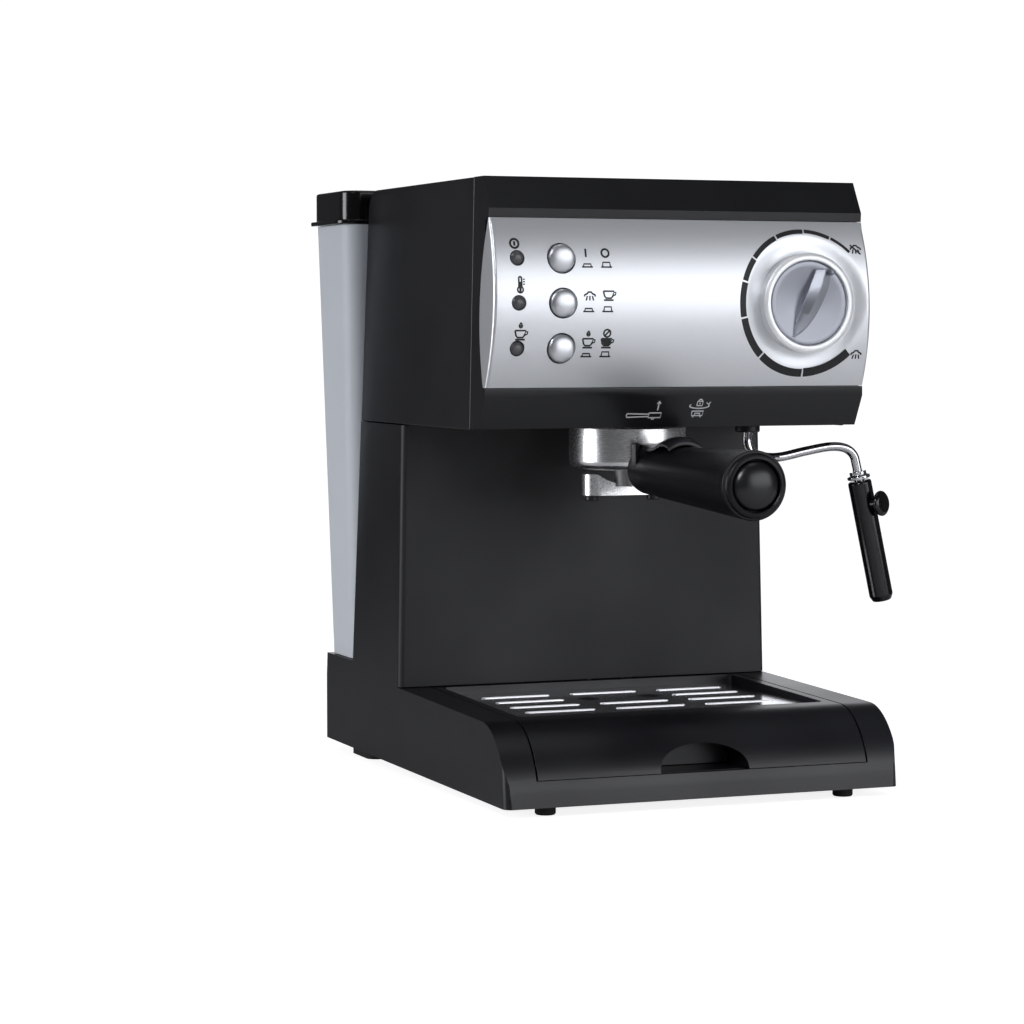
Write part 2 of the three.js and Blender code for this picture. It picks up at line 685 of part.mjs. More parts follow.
function tankValveSeat() {
  return turned([[0, 38], [3.2, 38], [3.2, 41], [12.6, 41], [12.6, 53], [6.2, 53], [6.2, 43], [0, 43]], 0,
      252, 24);
}

function tankLid() {
  const front = columnRear(295) + 1.2;
  const rear = TANK.rear + 1;
  const flange = alongZ(roundedRect(-117.7, 117.7, front, rear + 1, TANK.corner), TANK.high + GAP, 296.6);
  const cap = alongZ(roundedRect(-114.8, 114.8, front + 0.4, rear, TANK.corner), 296, HEIGHT + 0.5);
  const hollow = alongZ(roundedRect(-112, 112, front + 3, rear - 3, 8), 290, HEIGHT - 2);
  return cut(join(flange, cap), hollow);
}

// ---- steam wand ----
function wandCollar() {
  const low = 183.4;
  return turned([[2.9, low], [5.9, low], [6.4, low + 0.6], [6.4, HEAD_BOTTOM - GAP], [5.6,
      HEAD_BOTTOM - GAP], [5.6, 195],
    [2.9, 195], [2.9, low]], WAND.x, WAND.y, 24);
}

function wandTube() {
  const { x, y, armY, tubeR } = WAND;
  const slope = (SLEEVE.endX - SLEEVE.x) / (SLEEVE.top - SLEEVE.end);
  const along = (z) => [SLEEVE.x + (SLEEVE.top - z) * slope, armY, z];
  const points = [[x, y, 193], [x, y, 184], [x, y, 177.5], [x + 2.2, y - 0.8, 173], [x + 8, y - 3, 170.6],
    [x + 16, armY, 170.5], [x + 30, armY, 173.2], [x + 44, armY, 175.4], [x + 53, armY, 174.8], [x + 58.5,
    armY, 171.2],
    along(165), along(150), along(120), along(97)];
  return tube(points, tubeR, 34, 8);
}

// Moves a piece from the sleeve's own frame, with its top at z = 0, onto the slanted end of the wand.
function placeOnSleeve(piece) {
  const angle = Math.atan2(SLEEVE.endX - SLEEVE.x, SLEEVE.top - SLEEVE.end);
  return piece.rotateY(-angle).translate(SLEEVE.x, WAND.armY, SLEEVE.top);
}

function onSleeve(profile, sides) {
  return placeOnSleeve(lathe(profile, sides).rotateX(Math.PI / 2));
}

function wandNut() {
  return onSleeve([[2.9, 1], [6, 1], [6, 2.6], [4.4, 3.2], [4.4, 5], [2.9, 5], [2.9, 1]], 20);
}

function frothSleeve() {
  const { r } = SLEEVE;
  const length = Math.hypot(SLEEVE.endX - SLEEVE.x, SLEEVE.top - SLEEVE.end);
  const sleeve = onSleeve([[3, -length], [r - 1.4, -length], [r, -length + 3], [r, -2], [r - 1.2, 0], [3,
      0], [3, -length]], 24);
  const button = [[0, 4.5], [3, 4.5], [3, 9.4], [6.8, 9.8], [7.2, 11.4], [5.6, 12.8], [0, 13.4]];
  const turn = THREE.MathUtils.degToRad(SLEEVE.buttonTurn);
  const local = lathe(button, 16).rotateZ(-Math.PI / 2).rotateZ(turn).translate(0, 0, -SLEEVE.buttonDrop);
  return join(sleeve, cut(placeOnSleeve(local), onSleeve(rod(4.2, -30, 0), 16)));
}

// ---- pump, pipes and the rest inside ----
function pumpBody() {
  const { x, y, r, low, high } = PUMP;
  return turned([[0, low - 6], [3, low - 6], [3, low], [r, low], [r, high - 10], [6, high - 4], [6, high],
      [2.4, high + 6],
    [0, high + 6]], x, y, 24);
}

function pumpCoil() {
  const { x, y, r } = PUMP;
  return turned(ring(r + GAP, 21, 80, 118), x, y, 24);
}

function pumpMount() {
  const { x, y, r } = PUMP;
  const shelf = block(x - 30, x + 30, y - 16, y + 16, 122, 125);
  const legs = block(x - 30, x - 27, y - 16, y + 16, 20, 125);
  return cut(join(shelf, legs), turned(rod(r + 0.4, 110, 130), x, y, 24));
}

function waterHose() {
  return tube([[0, 252, 37.4], [0, 251, 30], [4, 240, 26], [20, 215, 24], [34, 196, 27], [PUMP.x, PUMP.y, 38],
    [PUMP.x, PUMP.y, 53.5]], 3.2, 18, 6);
}

function pressureHose() {
  return tube([[PUMP.x, PUMP.y, 156.6], [PUMP.x, PUMP.y, 200], [38, 182, 245], [26, 160, 275], [8, 130, 284],
    [0, 114, 280], [0, 111, BOILER.top + 0.5]], 2.4, 22, 6);
}

function steamFeedPipe() {
  return tube([[BOILER.r + 0.6, 96, 254], [44, 96, 256], [50, 95, 255], [56.4, 91, 252]], 2, 10);
}

function steamPipe() {
  return tube([[66.5, 90, 240.6], [66.5, 90, 232], [63, 82, 218], [57, 70, 208], [WAND.x, WAND.y, 195.6]],
      2.2, 20);
}

function cordGland() {
  return turnedY([[0, 270], [0, 282.4], [8, 282.4], [8, 280.2], [6, 280.2], [6, 270], [0, 270]], 70, 25, 20);
}

// ---- materials ----
function finish(color, roughness, metalness, opacity = 1) {
  const options = { color, roughness, metalness };
  if (opacity < 1) Object.assign(options, { opacity, transparent: true });
  return new THREE.MeshStandardMaterial(options);
}

const satinBlack = [0x242427, 0.5, 0];
const glossBlack = [0x151517, 0.25, 0];
const rubber = [0x1b1b1c, 0.85, 0];
const satinSilver = [0xb9bbbe, 0.35, 0.8];
const chrome = [0xd6d8da, 0.12, 1];
const brushed = [0xb4b5b6, 0.35, 1];
const castMetal = [0xa7a8a9, 0.5, 1];
const brass = [0xb08d4f, 0.35, 1];
const lightPlastic = [0xdcdde0, 0.45, 0];
const hose = [0xd9d4c6, 0.5, 0];
const darkLens = [0x4b4d50, 0.3, 0];

// ---- assembly ----
const machine = new THREE.Group();

function add(name, geometry, look) {
  const mesh = new THREE.Mesh(geometry, finish(...look));
  mesh.name = name;
  machine.add(mesh);
}

add('lower_housing', lowerHousing(), satinBlack);
add('tray_guide', trayGuide(), satinBlack);
add('base_plate', basePlate(), castMetal);
add('front_foot_left', frontFoot(-1), rubber);
add('front_foot_right', frontFoot(1), rubber);
add('rear_foot_left', rearFoot(-1), rubber);
add('rear_foot_right', rearFoot(1), rubber);
add('column_front_panel', columnFrontPanel(), satinBlack);
add('head_cover', headCover(), satinBlack);
add('head_bottom_plate', headBottomPlate(), satinBlack);
add('front_bezel', frontBezel(), glossBlack);
add('silver_fascia', silverFascia(), satinSilver);
['power', 'ready', 'brew'].forEach((name, row) => add(`${name}_lamp`, led(BUTTON.rows[row]), darkLens));
['power', 'mode', 'brew'].forEach((name, row) => add(`${name}_button`, button(BUTTON.rows[row]),
    satinSilver));
add('switch_bank', switchBank(), satinBlack);
add('control_board', controlBoard(), [0x2d5a3a, 0.6, 0]);
add('knob_ring', knobRing(), lightPlastic);
add('steam_knob', steamKnob(), satinBlack);
add('valve_stem', valveStem(), brass);
add('steam_valve_body', steamValveBody(), brass);
add('boiler_lower', boilerLower(), castMetal);
add('boiler_gasket', boilerGasket(), rubber);
add('boiler_upper', boilerUpper(), castMetal);
add('heating_element', heatingElement(), brushed);
add('brew_thermostat', thermostat(-1), lightPlastic);
add('steam_thermostat', thermostat(1), lightPlastic);
add('group_ring', groupRing(), castMetal);
add('group_gasket', groupGasket(), rubber);
add('shower_screen', showerScreen(), chrome);
add('shower_screw', showerScrew(), chrome);
add('portafilter_body', portafilterBody(), brushed);
add('filter_basket', filterBasket(), chrome);
add('twin_spout', twinSpout(), brushed);
add('handle_grip', handleGrip(), satinBlack);
add('handle_cap', handleCap(), glossBlack);
add('basket_clip', basketClip(), satinBlack);
add('drip_tray', dripTray(), satinBlack);
add('cup_grille', cupGrille(), chrome);
add('water_tank', waterTank(), [0xdfe7ef, 0.15, 0, 0.35]);
add('tank_valve', tankValve(), lightPlastic);
add('tank_valve_seat', tankValveSeat(), satinBlack);
add('tank_lid', tankLid(), satinBlack);
add('wand_collar', wandCollar(), satinBlack);
add('wand_tube', wandTube(), chrome);
add('wand_nut', wandNut(), chrome);
add('froth_sleeve', frothSleeve(), satinBlack);
add('pump_body', pumpBody(), lightPlastic);
add('pump_coil', pumpCoil(), [0x8a3f24, 0.5, 0.3]);
add('pump_mount', pumpMount(), castMetal);
add('water_hose', waterHose(), hose);
add('pressure_hose', pressureHose(), hose);
add('steam_feed_pipe', steamFeedPipe(), brass);
add('steam_pipe', steamPipe(), brass);
add('cord_gland', cordGland(), rubber);

const box = new THREE.Box3().setFromObject(machine);
machine.position.set(-(box.min.x + box.max.x) / 2, -(box.min.y + box.max.y) / 2, -box.min.z);

export default machine;
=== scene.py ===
# The looks of a pump espresso machine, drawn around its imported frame.
# Sizes are in millimetres in the drawing frame: x = 0 on the centre plane, y = 0 at the base's front
# edge, z = 0 on the table, with the front facing -Y. place() puts a finished piece into the row frame.
import math

import bmesh
import bpy
from mathutils import Matrix, Vector

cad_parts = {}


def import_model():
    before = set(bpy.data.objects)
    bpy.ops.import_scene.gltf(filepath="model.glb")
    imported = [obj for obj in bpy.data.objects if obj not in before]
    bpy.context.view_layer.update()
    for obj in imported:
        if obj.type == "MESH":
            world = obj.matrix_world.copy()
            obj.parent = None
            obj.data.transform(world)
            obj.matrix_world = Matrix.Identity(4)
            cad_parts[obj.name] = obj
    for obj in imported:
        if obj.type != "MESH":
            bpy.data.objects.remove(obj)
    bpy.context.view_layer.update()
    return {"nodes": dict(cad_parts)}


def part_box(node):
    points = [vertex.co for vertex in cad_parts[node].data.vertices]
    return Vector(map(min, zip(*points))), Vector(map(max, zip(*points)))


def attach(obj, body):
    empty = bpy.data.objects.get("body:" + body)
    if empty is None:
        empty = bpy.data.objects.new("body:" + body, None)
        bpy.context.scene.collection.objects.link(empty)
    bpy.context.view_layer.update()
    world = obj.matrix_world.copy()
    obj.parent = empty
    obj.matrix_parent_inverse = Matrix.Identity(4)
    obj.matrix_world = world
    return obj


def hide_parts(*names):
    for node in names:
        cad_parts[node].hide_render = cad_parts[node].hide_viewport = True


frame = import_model()

MM = 0.001
HOUSING_LOW, HOUSING_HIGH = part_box("lower_housing")
FRONT_FLARE = 4.5
HOME = Vector(((HOUSING_LOW.x + HOUSING_HIGH.x) / 2, HOUSING_LOW.y + FRONT_FLARE * MM, 0))

# ---- driving dimensions ----
BASE_HALF = 107.2
BASE_BOTTOM = 5
BASE_TOP = 47
SIDE_DRAFT = 0.0208
BASE_REAR = 280.8
BASE_REAR_LEAN = 4.2
FRONT_DEPTH = 28
FRONT_HEIGHT = 32.5
BLOCK_TOP = 53.6
COLUMN_FRONT = 151.3
COLUMN_REAR = 230.6
COLUMN_TOP = 186.2
HEAD_BOTTOM = 186.7
HEAD_JOINT = 52
HEAD_REAR_TOP = 215.9
HEIGHT = 312
WALL = 2.5
FASCIA_LOW = 208
FASCIA_HIGH = 291.4
FASCIA_EDGE = 31
FASCIA_BULGE = 9.5
FASCIA_CHEEK = 8
TRAY_HALF = 89.8
TRAY_FLOOR = 18.2
TRAY_REAR = 150
GRILLE_HALF = 84
GRILLE_FRONT = 36
GRILLE_REAR = 147
GRILLE_LOW = 40.5
GRILLE_HIGH = 42.5
DISH_Y = 107
SLOTS = [(x, y) for y in (44, 65, 86, 107, 128) for x in (-50.3, 0, 50.3) if (x, y) != (0, DISH_Y)]
GROUP_Y = 96
HOLDER_R = 30.5
SPOUT_Y = GROUP_Y + 6
NOZZLE_X = 17.6
HANDLE_Z = 164.5
HANDLE_NEAR = 70
HANDLE_NEAR_R = 12.2
HANDLE_FAR = -55
HANDLE_R = 17
DROOP_FROM = 60
DROOP_SIDE = 0.0226
DROOP_DOWN = 0.0217
KNOB_X = 66.5
KNOB_Z = 250
KNOB_R = 25
KNOB_FRONT = 18
KNOB_BACK = 24.8
DISH_DEPTH = 2.4
BUTTON_X = -66.7
BUTTON_R = 7
ROWS = (271.5, 249.6, 227.4)
LED_X = -90
LED_R = 3.25
TANK_LOW = 54.1
TANK_HIGH = 294
TANK_REAR = 277
VALVE_Y = 252
WAND_X = 55
WAND_Y = 66
WAND_R = 2.4
ARM_Y = 60
SLEEVE_TOP = Vector((117.3, ARM_Y, 157.5))
SLEEVE_END = Vector((131.4, ARM_Y, 93.8))
SLEEVE_R = 6.2
STUD_DROP = 13.3
STUD_TURN = -60
CLIP_Y = 59.5
CLIP_Z = 177


# ---- mesh building ----
def to_object(bm, name):
    bmesh.ops.recalc_face_normals(bm, faces=bm.faces)
    mesh = bpy.data.meshes.new(name)
    bm.to_mesh(mesh)
    bm.free()
    obj = bpy.data.objects.new(name, mesh)
    bpy.context.scene.collection.objects.link(obj)
    return obj


def bridge(bm, rings):
    """Joins closed rings of vertices by quads, and closes both ends."""
    for a, b in zip(rings, rings[1:]):
        for i in range(len(a)):
            j = (i + 1) % len(a)
            bm.faces.new((a[i], a[j], b[j], b[i]))
    bm.faces.new(rings[0])
    bm.faces.new(rings[-1])


def reshape(obj, move):
    for vertex in obj.data.vertices:
        vertex.co = move(vertex.co.copy())
    return obj


def extrude(name, outline, axis, low, high):
    """A prism of an outline along one axis. The outline's two numbers are the other two axes, in order."""
    def point(a, b, c):
        return {"X": (c, a, b), "Y": (a, c, b), "Z": (a, b, c)}[axis]
    bm = bmesh.new()
    ends = [[bm.verts.new(point(a, b, c)) for a, b in outline] for c in (low, high)]
    for ring in ends:
        bm.faces.new(ring)
    count = len(outline)
    for i in range(count):
        j = (i + 1) % count
        bm.faces.new((ends[0][i], ends[0][j], ends[1][j], ends[1][i]))
    return to_object(bm, name)


def lathe(name, profile, sides=96, axis="Z", centre=(0, 0, 0)):
    """A turned piece. The profile is (r, h) points that start and end on the axis, or close on themselves."""
    closed = profile[0] == profile[-1]
    points = profile[:-1] if closed else profile
    bm = bmesh.new()
    rings = []
    for r, h in points:
        if r < 1e-6:
            rings.append([bm.verts.new((0, 0, h))])
        else:
            turns = [2 * math.pi * i / sides for i in range(sides)]
            rings.append([bm.verts.new((r * math.cos(t), r * math.sin(t), h)) for t in turns])
    pairs = list(zip(rings, rings[1:]))
    if closed:
        pairs.append((rings[-1], rings[0]))
    for a, b in pairs:
        for i in range(sides):
            j = (i + 1) % sides
            corners = [a[i % len(a)], a[j % len(a)], b[j % len(b)], b[i % len(b)]]
            unique = list(dict.fromkeys(corners))
            if len(unique) > 2:
                bm.faces.new(unique)
    turn = {"Z": Matrix.Identity(4), "Y": Matrix.Rotation(-math.pi / 2, 4, "X"),
            "X": Matrix.Rotation(math.pi / 2, 4, "Y")}[axis]
    bmesh.ops.transform(bm, matrix=Matrix.Translation(Vector(centre)) @ turn, verts=bm.verts)
    return to_object(bm, name)


def arc(cx, cy, r, start, end, steps=8):
    """Points on an arc, with its angles in degrees."""
    angles = [math.radians(start + (end - start) * i / steps) for i in range(steps + 1)]
    return [(cx + r * math.cos(a), cy + r * math.sin(a)) for a in angles]


def rounded_rect(x0, x1, y0, y1, r, steps=8):
    return (arc(x1 - r, y0 + r, r, -90, 0, steps) + arc(x1 - r, y1 - r, r, 0, 90, steps)
            + arc(x0 + r, y1 - r, r, 90, 180, steps) + arc(x0 + r, y0 + r, r, 180, 270, steps))


def soften(profile, radius, steps=4):
    """Rounds each inner corner of an open profile by up to radius."""
    result = [profile[0]]
    for before, here, after in zip(profile, profile[1:], profile[2:]):
        p, q, s = Vector(before), Vector(here), Vector(after)
        reach = min(radius, (q - p).length * 0.45, (s - q).length * 0.45)
        a = q + (p - q).normalized() * reach
        b = q + (s - q).normalized() * reach
        for i in range(steps + 1):
            t = i / steps
            result.append(tuple(a * (1 - t) ** 2 + q * 2 * t * (1 - t) + b * t * t))
    result.append(profile[-1])
    return result


def sweep(name, points, radius, sides=24, steps=8):
    """A round tube along a smooth line through the points."""
    line = smooth_line([Vector(p) for p in points], steps)
    bm = bmesh.new()
    rings = []
    side = Vector((0, 1, 0))
    for i, p in enumerate(line):
        ahead = (line[min(i + 1, len(line) - 1)] - line[max(i - 1, 0)]).normalized()
        side = (side - ahead * side.dot(ahead)).normalized()
        other = ahead.cross(side)
        turns = [2 * math.pi * k / sides for k in range(sides)]
        rings.append([bm.verts.new(p + (side * math.cos(t) + other * math.sin(t)) * radius) for t in turns])
    bridge(bm, rings)
    return to_object(bm, name)


def smooth_line(points, steps):
    """A Catmull-Rom line through the points."""
    line = []
    padded = [points[0] * 2 - points[1]] + points + [points[-1] * 2 - points[-2]]
    for a, b, c, d in zip(padded, padded[1:], padded[2:], padded[3:]):
        for i in range(steps):
            t = i / steps
            line.append(0.5 * (2 * b + (c - a) * t + (2 * a - 5 * b + 4 * c - d) * t * t
                               + (3 * b - a - 3 * c + d) * t ** 3))
    line.append(points[-1])
    return line


def applied(obj):
    """Replaces an object's mesh by what its modifiers make of it."""
    graph = bpy.context.evaluated_depsgraph_get()
    mesh = bpy.data.meshes.new_from_object(obj.evaluated_get(graph))
    obj.modifiers.clear()
    obj.data = mesh
    return obj


def boolean(obj, operation, tools):
    for tool in tools:
        modifier = obj.modifiers.new("tool", "BOOLEAN")
        modifier.operation = operation
        modifier.solver = "EXACT"
        modifier.object = tool
        applied(obj)
        bpy.data.objects.remove(tool)
    return obj


def cut(obj, *tools):
    return boolean(obj, "DIFFERENCE", tools)


def join(obj, *others):
    return boolean(obj, "UNION", others)


def block(x0, x1, y0, y1, z0, z1):
    return extrude("block", [(x0, y0), (x1, y0), (x1, y1), (x0, y1)], "Z", z0, z1)


def bevel(obj, width, segments=3, angle=32):
    modifier = obj.modifiers.new("bevel", "BEVEL")
    modifier.width = width
    modifier.segments = segments
    modifier.limit_method = "ANGLE"
    modifier.angle_limit = math.radians(angle)
    modifier.use_clamp_overlap = True
    modifier.miter_outer = "MITER_ARC"
    return applied(obj)


def place(obj, material, body="root", node=None, smooth=35):
    """Finishes a piece: metres, row frame, shading, finish, body and the CAD node it stands for."""
    obj.data.transform(Matrix.Translation(HOME) @ Matrix.Scale(MM, 4))
    obj.data.materials.clear()
    obj.data.materials.append(material)
    obj.data.polygons.foreach_set("use_smooth", [True] * len(obj.data.polygons))
    obj.data.set_sharp_from_angle(angle=math.radians(smooth))
    normals = obj.modifiers.new("normals", "WEIGHTED_NORMAL")
    normals.keep_sharp = True
    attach(obj, body)
    if node:
        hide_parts(node)
    return obj


# ---- shared shapes ----
def half_width(z):
    return BASE_HALF - SIDE_DRAFT * max(0.0, z - BASE_TOP)


def lean(obj):
    """Leans the sides in with height, as the whole body does."""
    return reshape(obj, lambda p: Vector((p.x * half_width(p.z) / BASE_HALF, p.y, p.z)))


def flare(obj):
    """Leans the base's front forward towards its foot."""
    top = BASE_TOP - WALL

    def forward(p):
        low = max(0.0, top - p.z) / (top - BASE_BOTTOM)
        return Vector((p.x, p.y - FRONT_FLARE * low * max(0.0, 28 - p.y) / 28, p.z))
    return reshape(obj, forward)


def droop(obj):
    """Bends what is in front of the holder down and to the right, as the handle hangs."""
    def hang(p):
        out = max(0.0, DROOP_FROM - p.y)
        return Vector((p.x + out * DROOP_SIDE, p.y, p.z - out * DROOP_DOWN))
    return reshape(obj, hang)


def column_rear(z):
    return COLUMN_REAR - (COLUMN_REAR - HEAD_REAR_TOP) * (z - BLOCK_TOP) / (HEIGHT - BLOCK_TOP)


def base_front(low, inset=0.0, steps=24):
    """The rounded front of the base, from z = low up to its top edge, pushed back by inset."""
    depth, height = FRONT_DEPTH - inset, FRONT_HEIGHT - inset
    start = BASE_TOP - 2.5 - FRONT_HEIGHT
    points = []
    for i in range(steps + 1):
        angle = math.pi / 2 * i / steps
        y, z = inset + depth * (1 - math.cos(angle)), start + height * math.sin(angle)
        if z > low + 0.4:
            points.append((y, z))
        else:
            points = [(y, low)]
    if start > low:
        points.insert(0, (inset, low))
    return points


def fascia_t(z):
    return (2 * z - FASCIA_LOW - FASCIA_HIGH) / (FASCIA_HIGH - FASCIA_LOW)


def fascia_front(z):
    return FASCIA_EDGE - FASCIA_BULGE * (1 - fascia_t(z) ** 2)


def fascia_rear(z):
    rise = (z - FASCIA_LOW) / (FASCIA_HIGH - FASCIA_LOW)
    return FASCIA_EDGE + 4 - 3.2 * rise + FASCIA_CHEEK * (1 - fascia_t(z) ** 2)


def lens(forward, back, grow=0.0, steps=24):
    """The side view of the fascia, moved forward and back and grown in height."""
    low, high = FASCIA_LOW - grow, FASCIA_HIGH + grow
    heights = [low + (high - low) * i / steps for i in range(steps + 1)]
    front = [(fascia_front(z) + forward, z) for z in heights]
    rear = [(fascia_rear(z) + back, z) for z in reversed(heights)]
    return front + rear


# ---- materials ----
def new_material(name, base, roughness, metallic=0.0, **sockets):
    material = bpy.data.materials.new(name)
    material.use_nodes = True
    shader = material.node_tree.nodes["Principled BSDF"]
    shader.inputs["Base Color"].default_value = (*base, 1)
    shader.inputs["Roughness"].default_value = roughness
    shader.inputs["Metallic"].default_value = metallic
    for label, value in sockets.items():
        shader.inputs[label.replace("_", " ")].default_value = value
    return material


def add_noise(material, scale, detail=3.0, stretch=(1, 1, 1)):
    """A noise in object space, stretched along the axes. Returns its output."""
    nodes, links = material.node_tree.nodes, material.node_tree.links
    place_node = nodes.new("ShaderNodeTexCoord")
    mapping = nodes.new("ShaderNodeMapping")
    mapping.inputs["Scale"].default_value = stretch
    noise = nodes.new("ShaderNodeTexNoise")
    noise.inputs["Scale"].default_value = scale
    noise.inputs["Detail"].default_value = detail
    links.new(place_node.outputs["Object"], mapping.inputs["Vector"])
    links.new(mapping.outputs["Vector"], noise.inputs["Vector"])
    return noise.outputs["Fac"]


def add_bump(material, source, strength, distance):
    nodes, links = material.node_tree.nodes, material.node_tree.links
    shader = nodes["Principled BSDF"]
    bump = nodes.new("ShaderNodeBump")
    bump.inputs["Strength"].default_value = strength
    bump.inputs["Distance"].default_value = distance
    links.new(source, bump.inputs["Height"])
    links.new(bump.outputs["Normal"], shader.inputs["Normal"])


def vary(material, source, socket, low, high):
    """Drives a socket between two values, or two colours, by a noise."""
    nodes, links = material.node_tree.nodes, material.node_tree.links
    shader = nodes["Principled BSDF"]
    ramp = nodes.new("ShaderNodeValToRGB")
    ramp.color_ramp.elements[0].position = 0.3
    ramp.color_ramp.elements[1].position = 0.7
    for element, value in zip(ramp.color_ramp.elements, (low, high)):
        element.color = (*value, 1) if isinstance(value, tuple) else (value, value, value, 1)
    links.new(source, ramp.inputs["Fac"])
    links.new(ramp.outputs["Color"], shader.inputs[socket])


def plastic(name, base, roughness, grain=0.06, scale=2600):
    material = new_material(name, base, roughness)
    add_bump(material, add_noise(material, scale), grain, 0.0001)
    wide = add_noise(material, 14, 2)
    vary(material, wide, "Roughness", roughness * 0.9, min(1.0, roughness * 1.12))
    lift = tuple(c * 1.25 + 0.001 for c in base)
    vary(material, wide, "Base Color", base, lift)
    return material


def metal(name, base, roughness, stretch=(1, 1, 1), scale=900, grain=0.05):
    material = new_material(name, base, roughness, 1.0)
    streaks = add_noise(material, scale, 4, stretch)
    add_bump(material, streaks, grain, 0.0001)
    vary(material, streaks, "Roughness", roughness * 0.8, roughness * 1.25)
    return material


def painted(name, base, roughness, metallic, grain):
    """Silver paint: a metallic coat with a fine fleck."""
    material = new_material(name, base, roughness, metallic)
    add_bump(material, add_noise(material, 5200, 2), grain, 0.0001)
    return material


SATIN_BLACK = plastic("satin_black", (0.0035, 0.0036, 0.0055), 0.36, 0.08)
COLUMN_BLACK = plastic("column_black", (0.007, 0.007, 0.008), 0.55, 0.12, 3400)
GLOSS_BLACK = plastic("gloss_black", (0.002, 0.002, 0.0025), 0.16, 0.01)
BAND_BLACK = plastic("band_black", (0.005, 0.0052, 0.0062), 0.3, 0.03)
GRIP_BLACK = plastic("grip_black", (0.002, 0.002, 0.003), 0.4, 0.1)
GRIP_BLACK.node_tree.nodes["Principled BSDF"].inputs["Specular IOR Level"].default_value = 0.3
RUBBER = plastic("rubber", (0.012, 0.012, 0.012), 0.8, 0.2)
SILVER = painted("silver_paint", (0.74, 0.75, 0.78), 0.4, 0.85, 0.05)
vary(SILVER, add_noise(SILVER, 9000, 1), "Base Color", (0.70, 0.71, 0.74), (0.78, 0.79, 0.82))
KNOB_SILVER = painted("knob_silver", (0.31, 0.32, 0.36), 0.4, 0.9, 0.04)
PALE = plastic("pale_plastic", (0.8, 0.81, 0.83), 0.35, 0.02)
BUTTON_SILVER = painted("button_silver", (0.62, 0.63, 0.66), 0.33, 0.9, 0.03)
vary(BUTTON_SILVER, add_noise(BUTTON_SILVER, 40, 2), "Roughness", 0.3, 0.36)
RING_SILVER = painted("ring_silver", (0.95, 0.96, 0.98), 0.4, 0.7, 0.03)
vary(RING_SILVER, add_noise(RING_SILVER, 30, 2), "Roughness", 0.4, 0.5)
CHROME = metal("chrome", (0.62, 0.62, 0.64), 0.07, grain=0.01)
GRILLE_STEEL = metal("grille_steel", (0.50, 0.50, 0.53), 0.13, (1, 6, 1), 60, 0.0)
# A brighter copy of the grille's steel for the slot rims: a painted highlight along the slot edges.
SLOT_EDGE_HIGHLIGHT = metal("slot_edge_highlight", (0.93, 0.93, 0.95), 0.32, grain=0.02)
BRUSHED = metal("brushed_aluminium", (0.92, 0.92, 0.93), 0.24, (1, 1, 40), 300, 0.12)
POLISHED = metal("polished_aluminium", (0.93, 0.93, 0.94), 0.3, grain=0.05)
# Dark cast metal of the boiler and group ring; on the spout's neck its darkness is painted shade under the bowl.
CAST_METAL_AND_SHADE = metal("cast_metal", (0.3, 0.3, 0.3), 0.55, scale=1500, grain=0.3)
SHEET = metal("sheet_steel", (0.5, 0.5, 0.5), 0.35, (1, 8, 1))
BRASS = metal("brass", (0.6, 0.42, 0.16), 0.3)
COPPER = metal("copper", (0.5, 0.2, 0.09), 0.4, (1, 1, 30))
LENS = plastic("lamp_lens", (0.07, 0.07, 0.075), 0.22, 0.3, 1500)
BOARD = plastic("board", (0.03, 0.14, 0.06), 0.5)
HOSE = plastic("silicone", (0.6, 0.57, 0.48), 0.4)
INK_DARK = plastic("dark_print", (0.004, 0.004, 0.005), 0.5, 0.02)
INK_LIGHT = plastic("light_print", (0.62, 0.62, 0.63), 0.5, 0.02)


def tank_plastic():
    material = new_material("tank_plastic", (0.86, 0.89, 0.95), 0.4, 0.0, Transmission_Weight=0.25, IOR=1.3)
    add_bump(material, add_noise(material, 1800), 0.05, 0.0002)
    vary(material, add_noise(material, 9, 2), "Base Color", (0.82, 0.86, 0.92), (0.89, 0.92, 0.97))
    return material


TANK_PLASTIC = tank_plastic()


